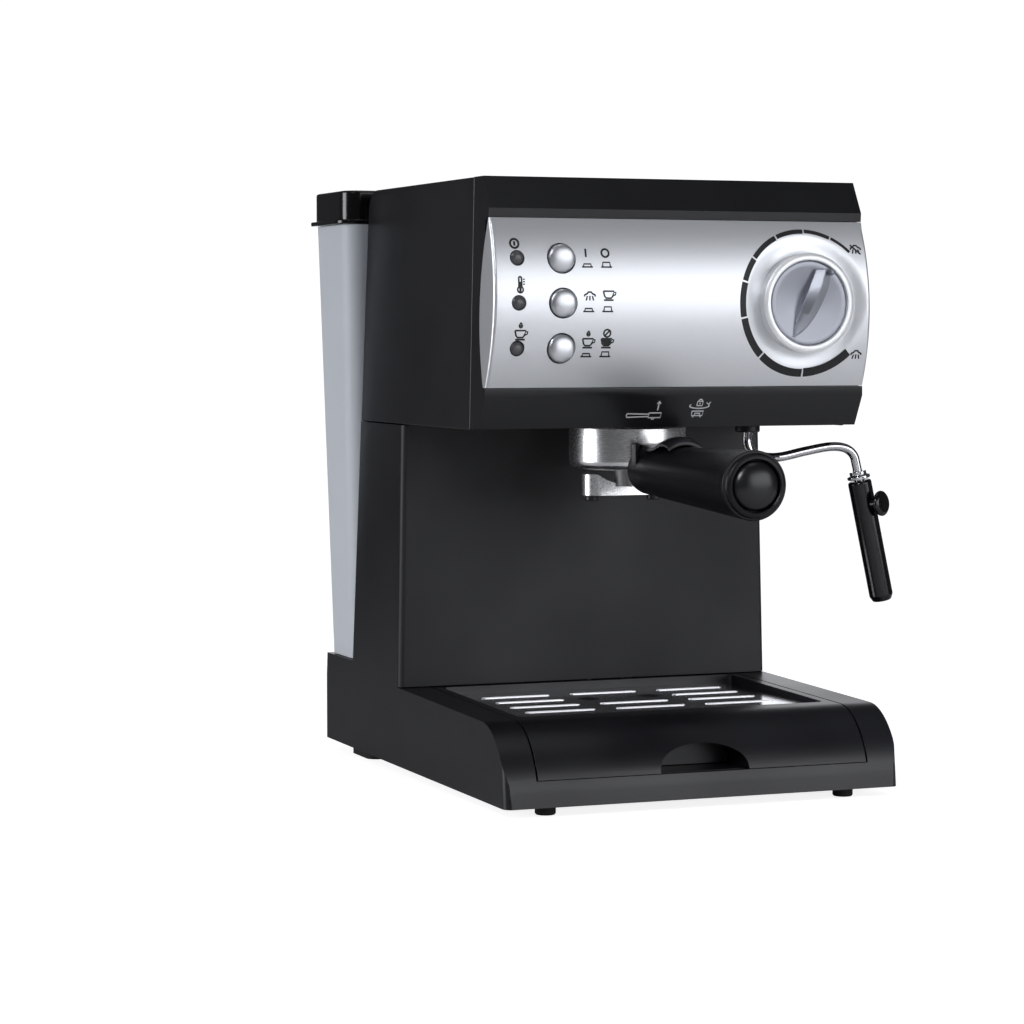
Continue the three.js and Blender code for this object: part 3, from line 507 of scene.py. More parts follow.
# ---- base and column ----
def housing():
    outline = base_front(BASE_BOTTOM) + [
        (COLUMN_FRONT + 3.5, BASE_TOP), (COLUMN_FRONT + 5.3, COLUMN_TOP),
        (column_rear(COLUMN_TOP), COLUMN_TOP), (COLUMN_REAR, BLOCK_TOP),
        (BASE_REAR - BASE_REAR_LEAN, BLOCK_TOP), (BASE_REAR, BASE_BOTTOM)]
    body = lean(extrude("housing_shell", outline, "X", -BASE_HALF, BASE_HALF))
    plan = extrude("plan", rounded_rect(-BASE_HALF, BASE_HALF, 0, BASE_REAR, 4), "Z", 0, HEIGHT)
    body = boolean(body, "INTERSECT", [plan])
    inside = BASE_HALF - WALL
    bay = TRAY_HALF + 0.5
    floor = TRAY_FLOOR - 0.3
    rear = TRAY_REAR + 3.5
    rear_hollow = [(rear, 4), (BASE_REAR - WALL, 4), (BASE_REAR - BASE_REAR_LEAN - WALL, BLOCK_TOP - WALL),
                   (COLUMN_REAR - WALL, BLOCK_TOP - WALL), (COLUMN_REAR - WALL, 60), (rear, 60)]
    low, high = BASE_TOP + WALL, HEAD_BOTTOM + 3
    column_hollow = [(COLUMN_FRONT - 2, low), (column_rear(low) - WALL, low),
                     (column_rear(high) - WALL, high), (COLUMN_FRONT - 2, high)]
    rail = base_front(4, WALL) + [(TRAY_REAR, BASE_TOP - WALL), (TRAY_REAR, 4)]
    return flare(cut(
        body,
        block(-bay, bay, -5, rear, floor, BASE_TOP + 0.1),
        block(-bay, bay, WALL, rear, 4, 30),
        block(-inside, inside, WALL, rear + 0.1, 4, floor - WALL),
        extrude("hollow", rear_hollow, "X", -inside, inside),
        lean(extrude("hollow", column_hollow, "X", -inside, inside)),
        extrude("rail", rail, "X", -inside, -bay - WALL),
        extrude("rail", rail, "X", bay + WALL, inside),
        lathe("seat", [(0, 40), (13, 40), (13, 60), (0, 60)], 48, centre=(0, VALVE_Y, 0)),
        lathe("gland", [(0, 270), (6.3, 270), (6.3, 285), (0, 285)], 32, "Y", (70, 0, 25))))


def tray_guide():
    half = TRAY_HALF + 0.2
    top = TRAY_FLOOR - 0.3
    rear = TRAY_REAR + 3.2
    return join(block(-half, half, WALL + 0.3, rear, top - WALL, top),
                block(-half, half, rear - WALL, rear, top - 1, BASE_TOP - 0.3))


def column_panel():
    r = 3
    low = BASE_TOP + 0.3
    outline = ([(-BASE_HALF, 3.2)] + arc(-BASE_HALF + r, r, r, 180, 270) + arc(BASE_HALF - r, r, r, 270, 360)
               + [(BASE_HALF, 3.2)])
    panel = lean(extrude("column_face", outline, "Z", low, COLUMN_TOP))

    def back(p):
        return Vector((p.x, p.y + COLUMN_FRONT + 1.9 * (p.z - low) / (COLUMN_TOP - low), p.z))
    return reshape(panel, back)


# ---- head ----
def head_outline(inset, bottom):
    top = HEIGHT - inset
    r = 12 - inset / 2
    rear = HEAD_REAR_TOP - inset + 0.6
    front = HEAD_JOINT + 0.3 - inset * 2
    bend = [(rear - r + r * math.sin(a), top - r + r * math.cos(a))
            for a in [math.pi / 2 * i / 12 for i in range(13)]]
    return [(front, bottom), (front, top)] + bend + [(column_rear(bottom) - inset, bottom)]


def head_shell():
    outer = lean(extrude("head_shell", head_outline(0, HEAD_BOTTOM), "X", -BASE_HALF, BASE_HALF))
    inside = BASE_HALF - WALL
    return cut(outer, lean(extrude("hollow", head_outline(WALL, HEAD_BOTTOM - 10), "X", -inside, inside)))


def panel_holes(grow, low, high):
    holes = []
    for z in ROWS:
        for x, r in ((BUTTON_X, BUTTON_R), (LED_X, LED_R)):
            profile = [(0, low), (r + grow, low), (r + grow, high), (0, high)]
            holes.append(lathe("hole", profile, 48, "Y", (x, 0, z)))
    return holes


def bezel():
    outline = [(HEAD_JOINT, 187.5), (HEAD_JOINT, HEIGHT), (39.5, HEIGHT), (31, 296), (31.5, 291.7),
               (36, 291.7), (36, 207.7), (32, 207.7), (32, 203), (41, 187.5)]
    body = lean(extrude("bezel_shell", outline, "X", -BASE_HALF, BASE_HALF))
    body = cut(body, lean(extrude("lens", lens(-2, 0.3, 0.29), "X", -BASE_HALF - 2, BASE_HALF + 2)))
    inner = BASE_HALF - 2.3
    hollow_half = inner - WALL
    hollow = [(44, 190), (53, 190), (53, 309.5), (42, 309.5), (34.8, 295), (33, 285), (33, 216), (36.5, 206)]
    return cut(body, lean(extrude("hollow", hollow, "X", -hollow_half, hollow_half)))


def smoothstep(t):
    t = max(0.0, min(1.0, t))
    return t * t * (3 - 2 * t)


def fascia():
    """One curved sheet: cheek, rounded edge, bulging front with the knob's dish, rounded edge, cheek."""
    rows = [FASCIA_LOW + (FASCIA_HIGH - FASCIA_LOW) * i / 84 for i in range(85)]
    coarse = [-1 + 2 * i / 40 for i in range(27)]
    start = coarse[-1]
    fine = [start + (1 - start) * i / 70 for i in range(1, 71)]
    bm = bmesh.new()
    grid = []
    for z in rows:
        front, rear, half = fascia_front(z), fascia_rear(z), half_width(z)
        r = min(1.8, (rear - front) * 0.45)
        side = [(-half, rear - (rear - front - r) * i / 5) for i in range(6)]
        corner = [(-half + r - r * math.cos(a), front + r - r * math.sin(a))
                  for a in [math.pi / 2 * i / 5 for i in range(1, 6)]]
        across = []
        for u in coarse[1:] + fine[:-1]:
            x = u * (half - r)
            gone = math.hypot(x - KNOB_X, z - KNOB_Z)
            across.append((x, front + DISH_DEPTH * (1 - smoothstep((gone - 25.5) / 10.5))))
        left = side + corner
        right = [(-x, y) for x, y in reversed(left)]
        grid.append([bm.verts.new((x, y, z)) for x, y in left + across + right])
    for a, b in zip(grid, grid[1:]):
        for i in range(len(a) - 1):
            bm.faces.new((a[i], a[i + 1], b[i + 1], b[i]))
    sheet = to_object(bm, "fascia_sheet")
    thick = sheet.modifiers.new("thick", "SOLIDIFY")
    thick.thickness = 1.4
    thick.offset = -1
    applied(sheet)
    stem = lathe("stem", [(0, 0), (4, 0), (4, 60), (0, 60)], 48, "Y", (KNOB_X, 0, KNOB_Z))
    return cut(sheet, stem, *panel_holes(0.6, 0, 60))


def led(z):
    face = fascia_front(z)
    profile = [(0, face - 0.7), (1.4, face - 0.6), (2.4, face - 0.3), (LED_R, face + 0.3), (LED_R, face + 7),
               (0, face + 7)]
    return lathe("lamp", profile, 48, "Y", (LED_X, 0, z))


def push_button(z):
    face = fascia_front(z)
    r = BUTTON_R
    dome = [(r * math.sin(a), face - 2.4 + 1.9 * (1 - math.cos(a)))
            for a in [math.pi / 2 * i / 10 for i in range(11)]]
    profile = dome + [(r, face + 7), (2.5, face + 7), (2.5, 36), (0, 36)]
    return lathe("push_button", profile, 64, "Y", (BUTTON_X, 0, z))


# ---- steam knob ----
def knob_ring():
    profile = [(21.5, KNOB_FRONT + 0.9), (21.8, KNOB_FRONT + 0.3), (22.6, KNOB_FRONT), (24, KNOB_FRONT + 0.2),
               (25.2, KNOB_FRONT + 1), (KNOB_R, KNOB_FRONT + 2.4), (KNOB_R, KNOB_BACK), (21.5, KNOB_BACK),
               (21.5, KNOB_FRONT + 0.9)]
    return lathe("knob_rim", profile, 128, "Y", (KNOB_X, 0, KNOB_Z))


def knob_disc():
    face = KNOB_FRONT + 1.2
    profile = [(0, face + 2.6), (6, face + 2.2), (12, face + 1.3), (18, face + 0.4), (20.4, face), (21.3, face + 0.6),
               (21.3, KNOB_BACK), (7, KNOB_BACK), (7, 25.3), (3.2, 25.3), (3.2, 23), (0, 23)]
    disc = lathe("knob_disc", profile, 128, "Y", (KNOB_X, 0, KNOB_Z))
    return join(disc, knob_fin(face))


def knob_fin(face):
    """The crescent grip, which rises from its lower tip to the pointer at the top."""
    left = [(-9.4, -17.3), (-7.8, -11), (-5.7, -4.6), (-3.4, 1.6), (-0.9, 7.9), (2.8, 17)]
    right = [(-7.6, -17.4), (-1.5, -13.2), (3.7, -6.6), (7.7, 1.6), (10.2, 9.4), (11.2, 17.2)]
    lines = [smooth_line([Vector((x, 0, z)) for x, z in side], 6) for side in (left, right)]
    bm = bmesh.new()
    rows = []
    for l, r in zip(*lines):
        mid = (l + r) / 2
        rise = 1.0 + 4.6 * smoothstep((mid.z + 17) / 26)
        row = []
        for share, y in ((-0.03, face + 3), (0.04, face + 0.5 - 0.35 * rise), (0.5, face + 0.6 - rise),
                         (0.92, face + 0.6 - 0.8 * rise), (1.03, face + 3)):
            q = l + (r - l) * share
            row.append(bm.verts.new((KNOB_X + q.x, y, KNOB_Z + q.z)))
        rows.append(row)
    bridge(bm, rows)
    fin = bevel(to_object(bm, "fin"), 0.7, 3, 30)
    dome = [(1.5 * math.sin(a), 11.9 - 1.1 * math.cos(a)) for a in [math.pi / 2 * i / 6 for i in range(7)]]
    pointer = lathe("pointer", dome + [(1.5, 15), (0, 15)], 32, "Y", (KNOB_X + 9.2, 0, KNOB_Z + 15.4))
    return join(fin, pointer)


# ---- portafilter ----
def holder():
    r, low, top = HOLDER_R, 166, 186
    outer = soften([(8.2, low - 2), (23, low - 2), (r - 2.2, low - 1.2), (r - 0.4, low + 0.6), (r, low + 2.2),
                    (r, top), (28.3, top + 0.4), (28.3, 194.8), (25.9, 194.8)], 0.6)
    inner = [(25.9, low + 5), (22, low + 2), (8.2, low + 2), (8.2, low - 2)]
    return lathe("holder_bowl", outer + inner, 160, centre=(0, GROUP_Y, 0))


def holder_lug(start):
    sector = (arc(0, GROUP_Y, 31, start, start + 36) + arc(0, GROUP_Y, 27.5, start + 36, start))
    return extrude("lug", sector, "Z", 190.4, 193.4)


def spout():
    low, high = 150.2, 161.2
    dip = [(x, high - 5.6 * (1 - (x / 17) ** 2)) for x in [17 - 17 * i / 12 for i in range(12)]]
    top = [(22.5, high)] + dip + [(-x, z) for x, z in reversed(dip)] + [(-22.5, high)]
    wings = extrude("spout_wings", [(-22.5, low), (22.5, low)] + top, "Y", SPOUT_Y - 8, SPOUT_Y + 8)
    plan = rounded_rect(-22.5, 22.5, SPOUT_Y - 7.5, SPOUT_Y + 7.5, 7.4, 12)
    wings = bevel(boolean(wings, "INTERSECT", [extrude("plan", plan, "Z", 140, 170)]), 1.0, 4)
    return wings


def spout_neck():
    return lathe("spout_neck", soften([(0, 155), (7, 155), (7, 167.5), (0, 167.5)], 0.4), 64, centre=(0, GROUP_Y, 0))


def grip():
    z, far = HANDLE_Z, HANDLE_FAR
    body = [(0, HANDLE_NEAR), (HANDLE_NEAR_R, HANDLE_NEAR), (HANDLE_R - 0.3, far + 13), (HANDLE_R, far + 8),
            (HANDLE_R, far + 4.6), (HANDLE_R - 0.5, far + 4)]
    end = [(HANDLE_R - 1.2, far + 3.9), (HANDLE_R - 1.6, far + 3.4), (HANDLE_R - 1.7, far + 2.2),
           (HANDLE_R - 2.2, far + 1.7), (13.2, far + 1.4), (12.7, far + 1.8), (12.4, far + 6), (0, far + 6)]
    cone = lathe("grip_body", soften(body, 1.0, 3) + end, 128, "Y", (0, 0, z))
    cone = cut(cone, block(-10.2, 10.2, 44, 75, CLIP_Z - 1.1, 190))
    ears = [bevel(block(s * 11.4 - 1.2, s * 11.4 + 1.2, 56.5, 62, z + 2, CLIP_Z + 1.9), 0.5) for s in (-1, 1)]
    body = join(cone, *ears)
    wide = HOLDER_R + 0.4
    bowl = lathe("bowl", [(0, 140), (wide, 140), (wide, 190), (0, 190)], 160, centre=(0, GROUP_Y, 0))
    pin = lathe("pin", [(0, -15), (1.4, -15), (1.4, 15), (0, 15)], 24, "X", (0, CLIP_Y, CLIP_Z))
    bore = lathe("bore", [(0, 26), (6.3, 26), (6.3, 90), (0, 90)], 32, "Y", (0, 0, z))
    return droop(cut(body, bowl, pin, bore))


def end_cap():
    far = HANDLE_FAR
    dome = [(12 * math.sin(a), far + 3.6 - 5.1 * math.cos(a)) for a in [math.pi / 2 * i / 14 for i in range(15)]]
    return droop(lathe("end_dome", dome + [(12, far + 5.6), (0, far + 5.6)], 96, "Y", (0, 0, HANDLE_Z)))


def thumb_clip():
    upper = [(61.2, 178.4), (50, 178.3), (43, 180), (37, 182.7), (31, 183.5), (27, 182.9), (24.2, 181.3)]
    curve = [(p.y, p.z) for p in smooth_line([Vector((0, y, z)) for y, z in upper], 5)]
    bm = bmesh.new()
    rows = []
    for i in range(17):
        x = -9.3 + 18.6 * i / 16
        row = []
        for y, z in curve + [(y, z - 1.8) for y, z in reversed(curve)]:
            fade = min(1.0, max(0.0, (58 - y) / 20))
            row.append(bm.verts.new((x, y, z - (15 - math.sqrt(225 - x * x)) * fade)))
        rows.append(row)
    bridge(bm, rows)
    flap = bevel(to_object(bm, "clip_flap"), 0.5, 3, 50)
    pin = lathe("pin", [(0, -12.7), (1.05, -12.7), (1.05, 12.7), (0, 12.7)], 24, "X", (0, CLIP_Y, CLIP_Z))
    return droop(join(flap, pin))


# ---- drip tray and grille ----
def tray():
    outline = base_front(TRAY_FLOOR) + [(TRAY_REAR, BASE_TOP - 0.1), (TRAY_REAR, TRAY_FLOOR)]
    body = extrude("tray_shell", outline, "X", -TRAY_HALF + 0.4, TRAY_HALF - 0.4)
    arch = [(-24, TRAY_FLOOR - 5), (-24, TRAY_FLOOR)]
    arch += [(-24 * math.cos(a), TRAY_FLOOR + 13.3 * math.sin(a) ** 0.8)
             for a in [math.pi * i / 32 for i in range(1, 32)]]
    arch += [(24, TRAY_FLOOR), (24, TRAY_FLOOR - 5)]
    pocket = base_front(TRAY_FLOOR - 1, WALL) + [(33, BASE_TOP - 7), (33, TRAY_FLOOR - 1)]
    recess = rounded_rect(-GRILLE_HALF - 0.4, GRILLE_HALF + 0.4, GRILLE_FRONT - 0.4, GRILLE_REAR + 0.4, 3)
    return flare(cut(
        body,
        block(-81.5, 81.5, 39, 144, TRAY_FLOOR + WALL, 60),
        extrude("recess", recess, "Z", GRILLE_LOW - 0.3, 60),
        extrude("fingers", arch, "Y", -5, 24),
        extrude("pocket", pocket, "X", -TRAY_HALF + WALL, -27),
        extrude("pocket", pocket, "X", 27, TRAY_HALF - WALL)))


def slot_form(name, x, y, inset, low, high):
    """A round-ended bar that fills one slot of the grille, narrower by inset all round."""
    long, short = 19.4 - inset, 1.7 - inset
    return extrude(name, rounded_rect(x - long, x + long, y - short, y + short, short - 0.01, 5), "Z", low, high)


def grille():
    plan = rounded_rect(-GRILLE_HALF, GRILLE_HALF, GRILLE_FRONT, GRILLE_REAR, 3)
    plate = extrude("grille_plate", plan, "Z", GRILLE_LOW, GRILLE_HIGH)
    tools = [slot_form("slot", x, y, 0, GRILLE_LOW - 1, GRILLE_HIGH + 1) for x, y in SLOTS]
    for side in (-1, 1):
        dish = [(0, GRILLE_LOW - 1), (3, GRILLE_LOW - 1), (3, GRILLE_LOW + 0.5), (4.5, GRILLE_HIGH - 0.9),
                (6.3, GRILLE_HIGH - 0.2), (7, GRILLE_HIGH + 0.1), (7, GRILLE_HIGH + 1), (0, GRILLE_HIGH + 1)]
        tools.append(lathe("dish", dish, 48, centre=(side * NOZZLE_X, DISH_Y, 0)))
    return bevel(cut(plate, *tools), 0.25, 2)


def slot_edges():
    """The turned-up rims of the slots, in a steel much brighter than the grille's own: a painted highlight along the
    slot edges.
    """
    rims = [slot_form("rim", x, y, 0, GRILLE_LOW + 0.2, GRILLE_HIGH + 0.3) for x, y in SLOTS]
    holes = [slot_form("hole", x, y, 0.4, 30, 50) for x, y in SLOTS]
    return bevel(cut(join(*rims), *holes), 0.12, 2)


# ---- water tank ----
def tank_form(name, inset, low, high, steps=20):
    """A rounded box that leans and widens with height, pulled in by inset all round."""
    bm = bmesh.new()
    rings = []
    for i in range(steps + 1):
        z = low + (high - low) * i / steps
        t = (z - TANK_LOW) / (TANK_HIGH - TANK_LOW)
        half = 105.5 + 8.8 * t - inset
        outline = rounded_rect(-half, half, column_rear(z) + 0.8 + inset, TANK_REAR - inset, 10 - inset, 10)
        rings.append([bm.verts.new((x, y, z)) for x, y in outline])
    bridge(bm, rings)
    return to_object(bm, name)


def tank():
    outer = tank_form("tank_shell", 0, TANK_LOW, TANK_HIGH)
    hole = lathe("hole", [(0, 40), (6, 40), (6, 60), (0, 60)], 32, centre=(0, VALVE_Y, 0))
    return cut(outer, tank_form("inner", 2.2, TANK_LOW + 2.2, TANK_HIGH + 5), hole)


def lid():
    front = column_rear(295) + 1.2
    rear = TANK_REAR + 1
    flange = extrude("lid_shell", rounded_rect(-117.7, 117.7, front, rear + 1, 10), "Z", 294.3, 296.6)
    flange = bevel(flange, 0.6, 3)
    cap = bevel(extrude("cap", rounded_rect(-114.8, 114.8, front + 0.4, rear, 10), "Z", 295.6, HEIGHT + 0.5), 1.6, 4)
    hollow = extrude("hollow", rounded_rect(-112, 112, front + 3, rear - 3, 8), "Z", 290, HEIGHT - 2)
    return cut(join(flange, cap), hollow)


# ---- steam wand ----
def collar():
    z = 183.4
    profile = soften([(2.9, z + 0.6), (2.9, z), (5.8, z), (6.4, z + 0.6), (6.4, HEAD_BOTTOM), (5.6, HEAD_BOTTOM),
                      (5.6, 195), (2.9, 195)], 0.3) + [(2.9, z + 0.6)]
    return lathe("wand_boss", profile, 64, centre=(WAND_X, WAND_Y, 0))


def sleeve_line(z):
    slope = (SLEEVE_END.x - SLEEVE_TOP.x) / (SLEEVE_TOP.z - SLEEVE_END.z)
    return (SLEEVE_TOP.x + (SLEEVE_TOP.z - z) * slope, ARM_Y, z)


def wand_pipe():
    x, y = WAND_X, WAND_Y
    points = [(x, y, 193), (x, y, 184), (x, y, 177.5), (x + 2.2, y - 0.8, 173), (x + 8, y - 3, 170.6),
              (x + 16, ARM_Y, 170.5), (x + 30, ARM_Y, 173.2), (x + 44, ARM_Y, 175.4), (x + 53, ARM_Y, 174.8),
              (x + 58.5, ARM_Y, 171.2), sleeve_line(165), sleeve_line(150), sleeve_line(120), sleeve_line(97)]
    return sweep("wand_pipe", points, WAND_R, 32, 8)


def on_sleeve(obj):
    """Moves a piece from the sleeve's own frame, with its top at z = 0, onto the slanted end of the wand."""
    angle = math.atan2(SLEEVE_END.x - SLEEVE_TOP.x, SLEEVE_TOP.z - SLEEVE_END.z)
    obj.data.transform(Matrix.Translation(SLEEVE_TOP) @ Matrix.Rotation(-angle, 4, "Y"))
    return obj


def nut():
    profile = soften([(2.9, 1.2), (2.9, 1), (6, 1), (6, 2.6), (4.4, 3.2), (4.4, 5), (2.9, 5)], 0.3) + [(2.9, 1.2)]
    return on_sleeve(lathe("wand_flange", profile, 64))


def sleeve():
    length = (SLEEVE_END - SLEEVE_TOP).length
    r = SLEEVE_R
    outer = soften([(3, -length), (r - 1.4, -length), (r, -length + 2.8), (r, -0.9), (r - 0.9, 0), (3, 0)], 0.6)
    tube = lathe("sleeve_tube", outer + [(3, -length)], 64)
    button = soften([(0, 4.5), (3, 4.5), (3, 9.2), (6.5, 9.8), (6.8, 11.2), (5.3, 12.5), (0, 13.1)], 0.7)
    stud = lathe("stud", button, 64, "X")
    stud.data.transform(Matrix.Translation((0, 0, -STUD_DROP)) @ Matrix.Rotation(math.radians(STUD_TURN), 4, "Z"))
    bore = lathe("bore", [(0, -30), (3.6, -30), (3.6, 5), (0, 5)], 32)
    return on_sleeve(join(tube, cut(stud, bore)))


# ---- printed marks ----
ICON_GROW = 1.22
STROKE = 2.2


def ribbon(bm, points, width, lift, surface):
    """A flat ribbon along a line of (x, z), standing lift proud of a surface y(x, z)."""
    line = [Vector(p) for p in points]
    sides = []
    for i, p in enumerate(line):
        ahead = (line[min(i + 1, len(line) - 1)] - line[max(i - 1, 0)]).normalized()
        across = Vector((-ahead.y, ahead.x)) * width / 2
        sides.append((p + across, p - across))
    rings = []
    for a, b in sides:
        ring = []
        for q, depth in ((a, lift), (b, lift), (b, -0.1), (a, -0.1)):
            ring.append(bm.verts.new((q.x, surface(q.x, q.y) - depth, q.y)))
        rings.append(ring)
    bridge(bm, rings)


def marks(name, strokes, surface, lift=0.06):
    bm = bmesh.new()
    for width, points in strokes:
        ribbon(bm, points, width, lift, surface)
    return to_object(bm, name)


def shifted(strokes, x, z, scale=1.0):
    return [(w * STROKE, [(x + a * scale, z + b * scale) for a, b in points]) for w, points in strokes]


CUP = [(0.4, [(-2.4, 1.4), (2.2, 1.4), (1.7, -0.6), (1.0, -1.4), (-1.2, -1.4), (-1.9, -0.6), (-2.4, 1.4)]),
       (0.35, [(2.1, 1.0), (3.1, 0.9), (2.9, 0.0), (1.8, -0.4)]), (0.4, [(-2.2, -2.2), (2.0, -2.2)])]
FULL_CUP = CUP + [(0.8, [(-1.9, 0.7), (1.8, 0.7)]), (0.8, [(-1.6, 0.0), (1.5, 0.0)]),
                  (0.8, [(-1.2, -0.7), (1.1, -0.7)])]
DROP = [(0.35, [(0, 4.6), (-0.7, 3.3), (-0.5, 2.7), (0, 2.5), (0.5, 2.7), (0.7, 3.3), (0, 4.6)]),
        (0.5, [(0, 3.6), (0, 2.9)])]
STEAM = [(0.35, [(-1.6, -1.4), (-1.1, 0.4)]), (0.35, [(0, -1.4), (0, 0.5)]), (0.35, [(1.6, -1.4), (1.1, 0.4)]),
         (0.4, [(-2.4, 0.2), (-2.2, 0.9), (-1.2, 1.3), (-0.6, 2.0), (0.6, 2.0), (1.2, 1.3), (2.2, 0.9), (2.4, 0.2)])]
STEAM_OFF = STEAM + [(0.4, [(-2.4, 2.2), (2.2, -1.7)])]
PRESSED = [(0.35, [(-2.4, -1.0), (2.4, -1.0)]), (0.35, [(-1.7, -0.9), (-1.5, 0.2), (1.5, 0.2), (1.7, -0.9)])]
RAISED = [(0.35, [(-2.4, -1.0), (2.4, -1.0)]), (0.35, [(-1.7, -0.9), (-1.5, 0.9), (1.5, 0.9), (1.7, -0.9)])]
THERMOMETER = [(0.4, [(-0.6, 2.8), (-0.6, -0.8)]), (0.4, [(0.6, 2.8), (0.6, -0.8)]), (0.4, arc(0, 2.8, 0.6, 0, 180, 6)),
               (0.4, arc(0, -1.8, 1.2, 120, 420, 14)), (0.5, [(0, 1.4), (0, -1.6)]), (1.2, [(-0.5, -1.8), (0.5, -1.8)]),
               (0.3, [(1.2, 2.4), (2.0, 2.4)]), (0.3, [(1.2, 1.4), (2.0, 1.4)]), (0.3, [(1.2, 0.4), (2.0, 0.4)])]
POWER = [(0.5, arc(0, 0, 2.2, 0, 360, 24)), (0.5, [(0, 1.1), (0, -1.1)])]
ON = [(0.45, [(0, -1.7), (0, 1.7)])]
OFF = [(0.45, arc(0, 0, 1.6, 0, 360, 20))]
STOP = [(0.4, arc(0, 3.6, 1.5, 0, 360, 16)), (0.4, [(-0.9, 2.7), (0.9, 4.5)])]
HOLDER_MARK = [(0.27, [(-9.4, 0.9), (2.5, 0.6), (2.5, -0.6), (-9.4, -0.9), (-9.7, 0), (-9.4, 0.9)]),
               (0.27, [(2.5, 1.2), (9.2, 1.2), (9.2, -1.2), (2.5, -1.2), (2.5, 1.2)]),
               (0.27, [(4.4, -1.2), (4.6, -2), (5.6, -2), (5.8, -1.2)])]
UP_ARROW = [(0.27, [(0, -2.3), (0, 2.3)]), (0.27, [(-1, 1), (0, 2.3), (1, 1)])]
PADLOCK = [(0.27, [(-1.5, -1.5), (1.5, -1.5), (1.5, 0.7), (-1.5, 0.7), (-1.5, -1.5)]),
           (0.27, arc(0, 0.7, 1.0, 0, 180, 10)),
           (0.3, [(0, -0.8), (0, 0)])]
TURN_ARROW = [(0.27, [(5.4 * math.cos(a), 1.3 * math.sin(a))
                      for a in [math.radians(150 + 235 * i / 20) for i in range(21)]]),
              (0.27, [(3.6, 1.7), (4.9, 0.6), (5.7, 1.9)])]
FRONT_MARK = [(0.27, [(-3.2, 1.3), (3.2, 1.3), (2.9, -1), (-2.9, -1), (-3.2, 1.3)]),
              (0.27, [(-1.4, -1), (-1.4, 0.2), (1.4, 0.2), (1.4, -1)]),
              (0.27, [(-2, -1), (-2, -1.9)]), (0.27, [(2, -1), (2, -1.9)])]


def on_fascia(x, z):
    return fascia_front(z)


def dial_scale():
    """The steam dial's nine marks, which grow wider towards full steam."""
    borders = [44.5, 64.5, 88, 114, 141.5, 162.5, 192, 228, 271.5, 316]
    strokes = []
    for i, (start, end) in enumerate(zip(borders, borders[1:])):
        width = 1.5 + 2.9 * i / 8
        strokes.append((width, arc(KNOB_X, KNOB_Z, 37.4 - width / 2, start + 0.7, end - 0.7, 14)))
    return strokes


def dark_marks():
    strokes = dial_scale()
    grow = ICON_GROW
    strokes += shifted(POWER, LED_X - 0.8, ROWS[0] + 7.1)
    strokes += shifted(THERMOMETER, LED_X + 0.8, ROWS[1] + 8.6, grow)
    strokes += shifted(CUP + DROP, LED_X + 1.2, ROWS[2] + 7, grow)
    strokes += shifted(ON, -53.6, ROWS[0] + 2.8, grow)
    strokes += shifted(OFF, -43.2, ROWS[0] + 2.8, grow)
    strokes += shifted(STEAM, -52.6, ROWS[1] + 3, grow)
    strokes += shifted(CUP, -42.4, ROWS[1] + 4.2, grow)
    strokes += shifted(CUP + DROP, -52.8, ROWS[2] + 3, grow)
    strokes += shifted(FULL_CUP + STOP, -42.8, ROWS[2] + 3, grow)
    for z in ROWS:
        strokes += shifted(PRESSED, -53.2, z - 2.9, grow)
        strokes += shifted(RAISED, -43.0, z - 2.9, grow)
    strokes += shifted(STEAM_OFF, 96, 277, grow)
    strokes += shifted(STEAM, 96.4, 223.4, grow)
    return marks("panel_marks", strokes, on_fascia)


def on_lower_band(x, z):
    return 32 + 9 * (203 - z) / 15.5


def light_marks():
    strokes = shifted(HOLDER_MARK, -16.4, 193.6)
    strokes += shifted(UP_ARROW, -9.6, 198.4)
    strokes += shifted(PADLOCK, 13, 199.8)
    strokes += shifted(TURN_ARROW, 13, 198.2)
    strokes += shifted(FRONT_MARK, 12.8, 194.2)
    return marks("lock_marks", strokes, on_lower_band)


# ---- the visible pieces ----
place(bevel(housing(), 0.7), SATIN_BLACK, node="lower_housing")
place(bevel(tray_guide(), 0.4, 2), SATIN_BLACK, node="tray_guide")
place(bevel(column_panel(), 0.3, 2), COLUMN_BLACK, node="column_front_panel")
place(bevel(head_shell(), 0.9), SATIN_BLACK, node="head_cover")
place(bevel(bezel(), 0.6), BAND_BLACK, node="front_bezel")
place(fascia(), SILVER, node="silver_fascia")
for part, z in zip(("power", "ready", "brew"), ROWS):
    place(led(z), LENS, node=f"{part}_lamp")
for part, z in zip(("power", "mode", "brew"), ROWS):
    place(push_button(z), BUTTON_SILVER, f"{part}_push", f"{part}_button")
place(knob_ring(), RING_SILVER, "steam_dial", "knob_ring")
place(knob_disc(), KNOB_SILVER, "steam_dial", "steam_knob", 50)
stub = lathe("stub", [(0, 30), (6, 30), (6, 73), (0, 73)], 48, "Y", (0, 0, HANDLE_Z))
bowl_piece = droop(join(holder(), holder_lug(-18), holder_lug(162), stub))
place(bowl_piece, BRUSHED, "portafilter", "portafilter_body")
place(spout(), POLISHED, "portafilter", "twin_spout")
# The neck is dark as painted shade: it stands in the shadow under the holder's bowl.
place(spout_neck(), CAST_METAL_AND_SHADE, "portafilter")
for side in (-1, 1):
    nozzle = soften([(0, 147.3), (3.5, 147.3), (3.5, 150.1), (0, 150.1)], 0.5)
    place(lathe(f"spout_nozzle_{'left' if side < 0 else 'right'}", nozzle, 48, centre=(side * NOZZLE_X, SPOUT_Y, 0)),
          SATIN_BLACK, "portafilter")
place(grip(), GRIP_BLACK, "portafilter", "handle_grip")
place(end_cap(), BAND_BLACK, "portafilter", "handle_cap")
place(thumb_clip(), SATIN_BLACK, "clip", "basket_clip")
place(bevel(tray(), 0.6), SATIN_BLACK, "tray", "drip_tray")
place(grille(), GRILLE_STEEL, "grille", "cup_grille")
place(slot_edges(), SLOT_EDGE_HIGHLIGHT, "grille")
place(tank(), TANK_PLASTIC, "tank", "water_tank")
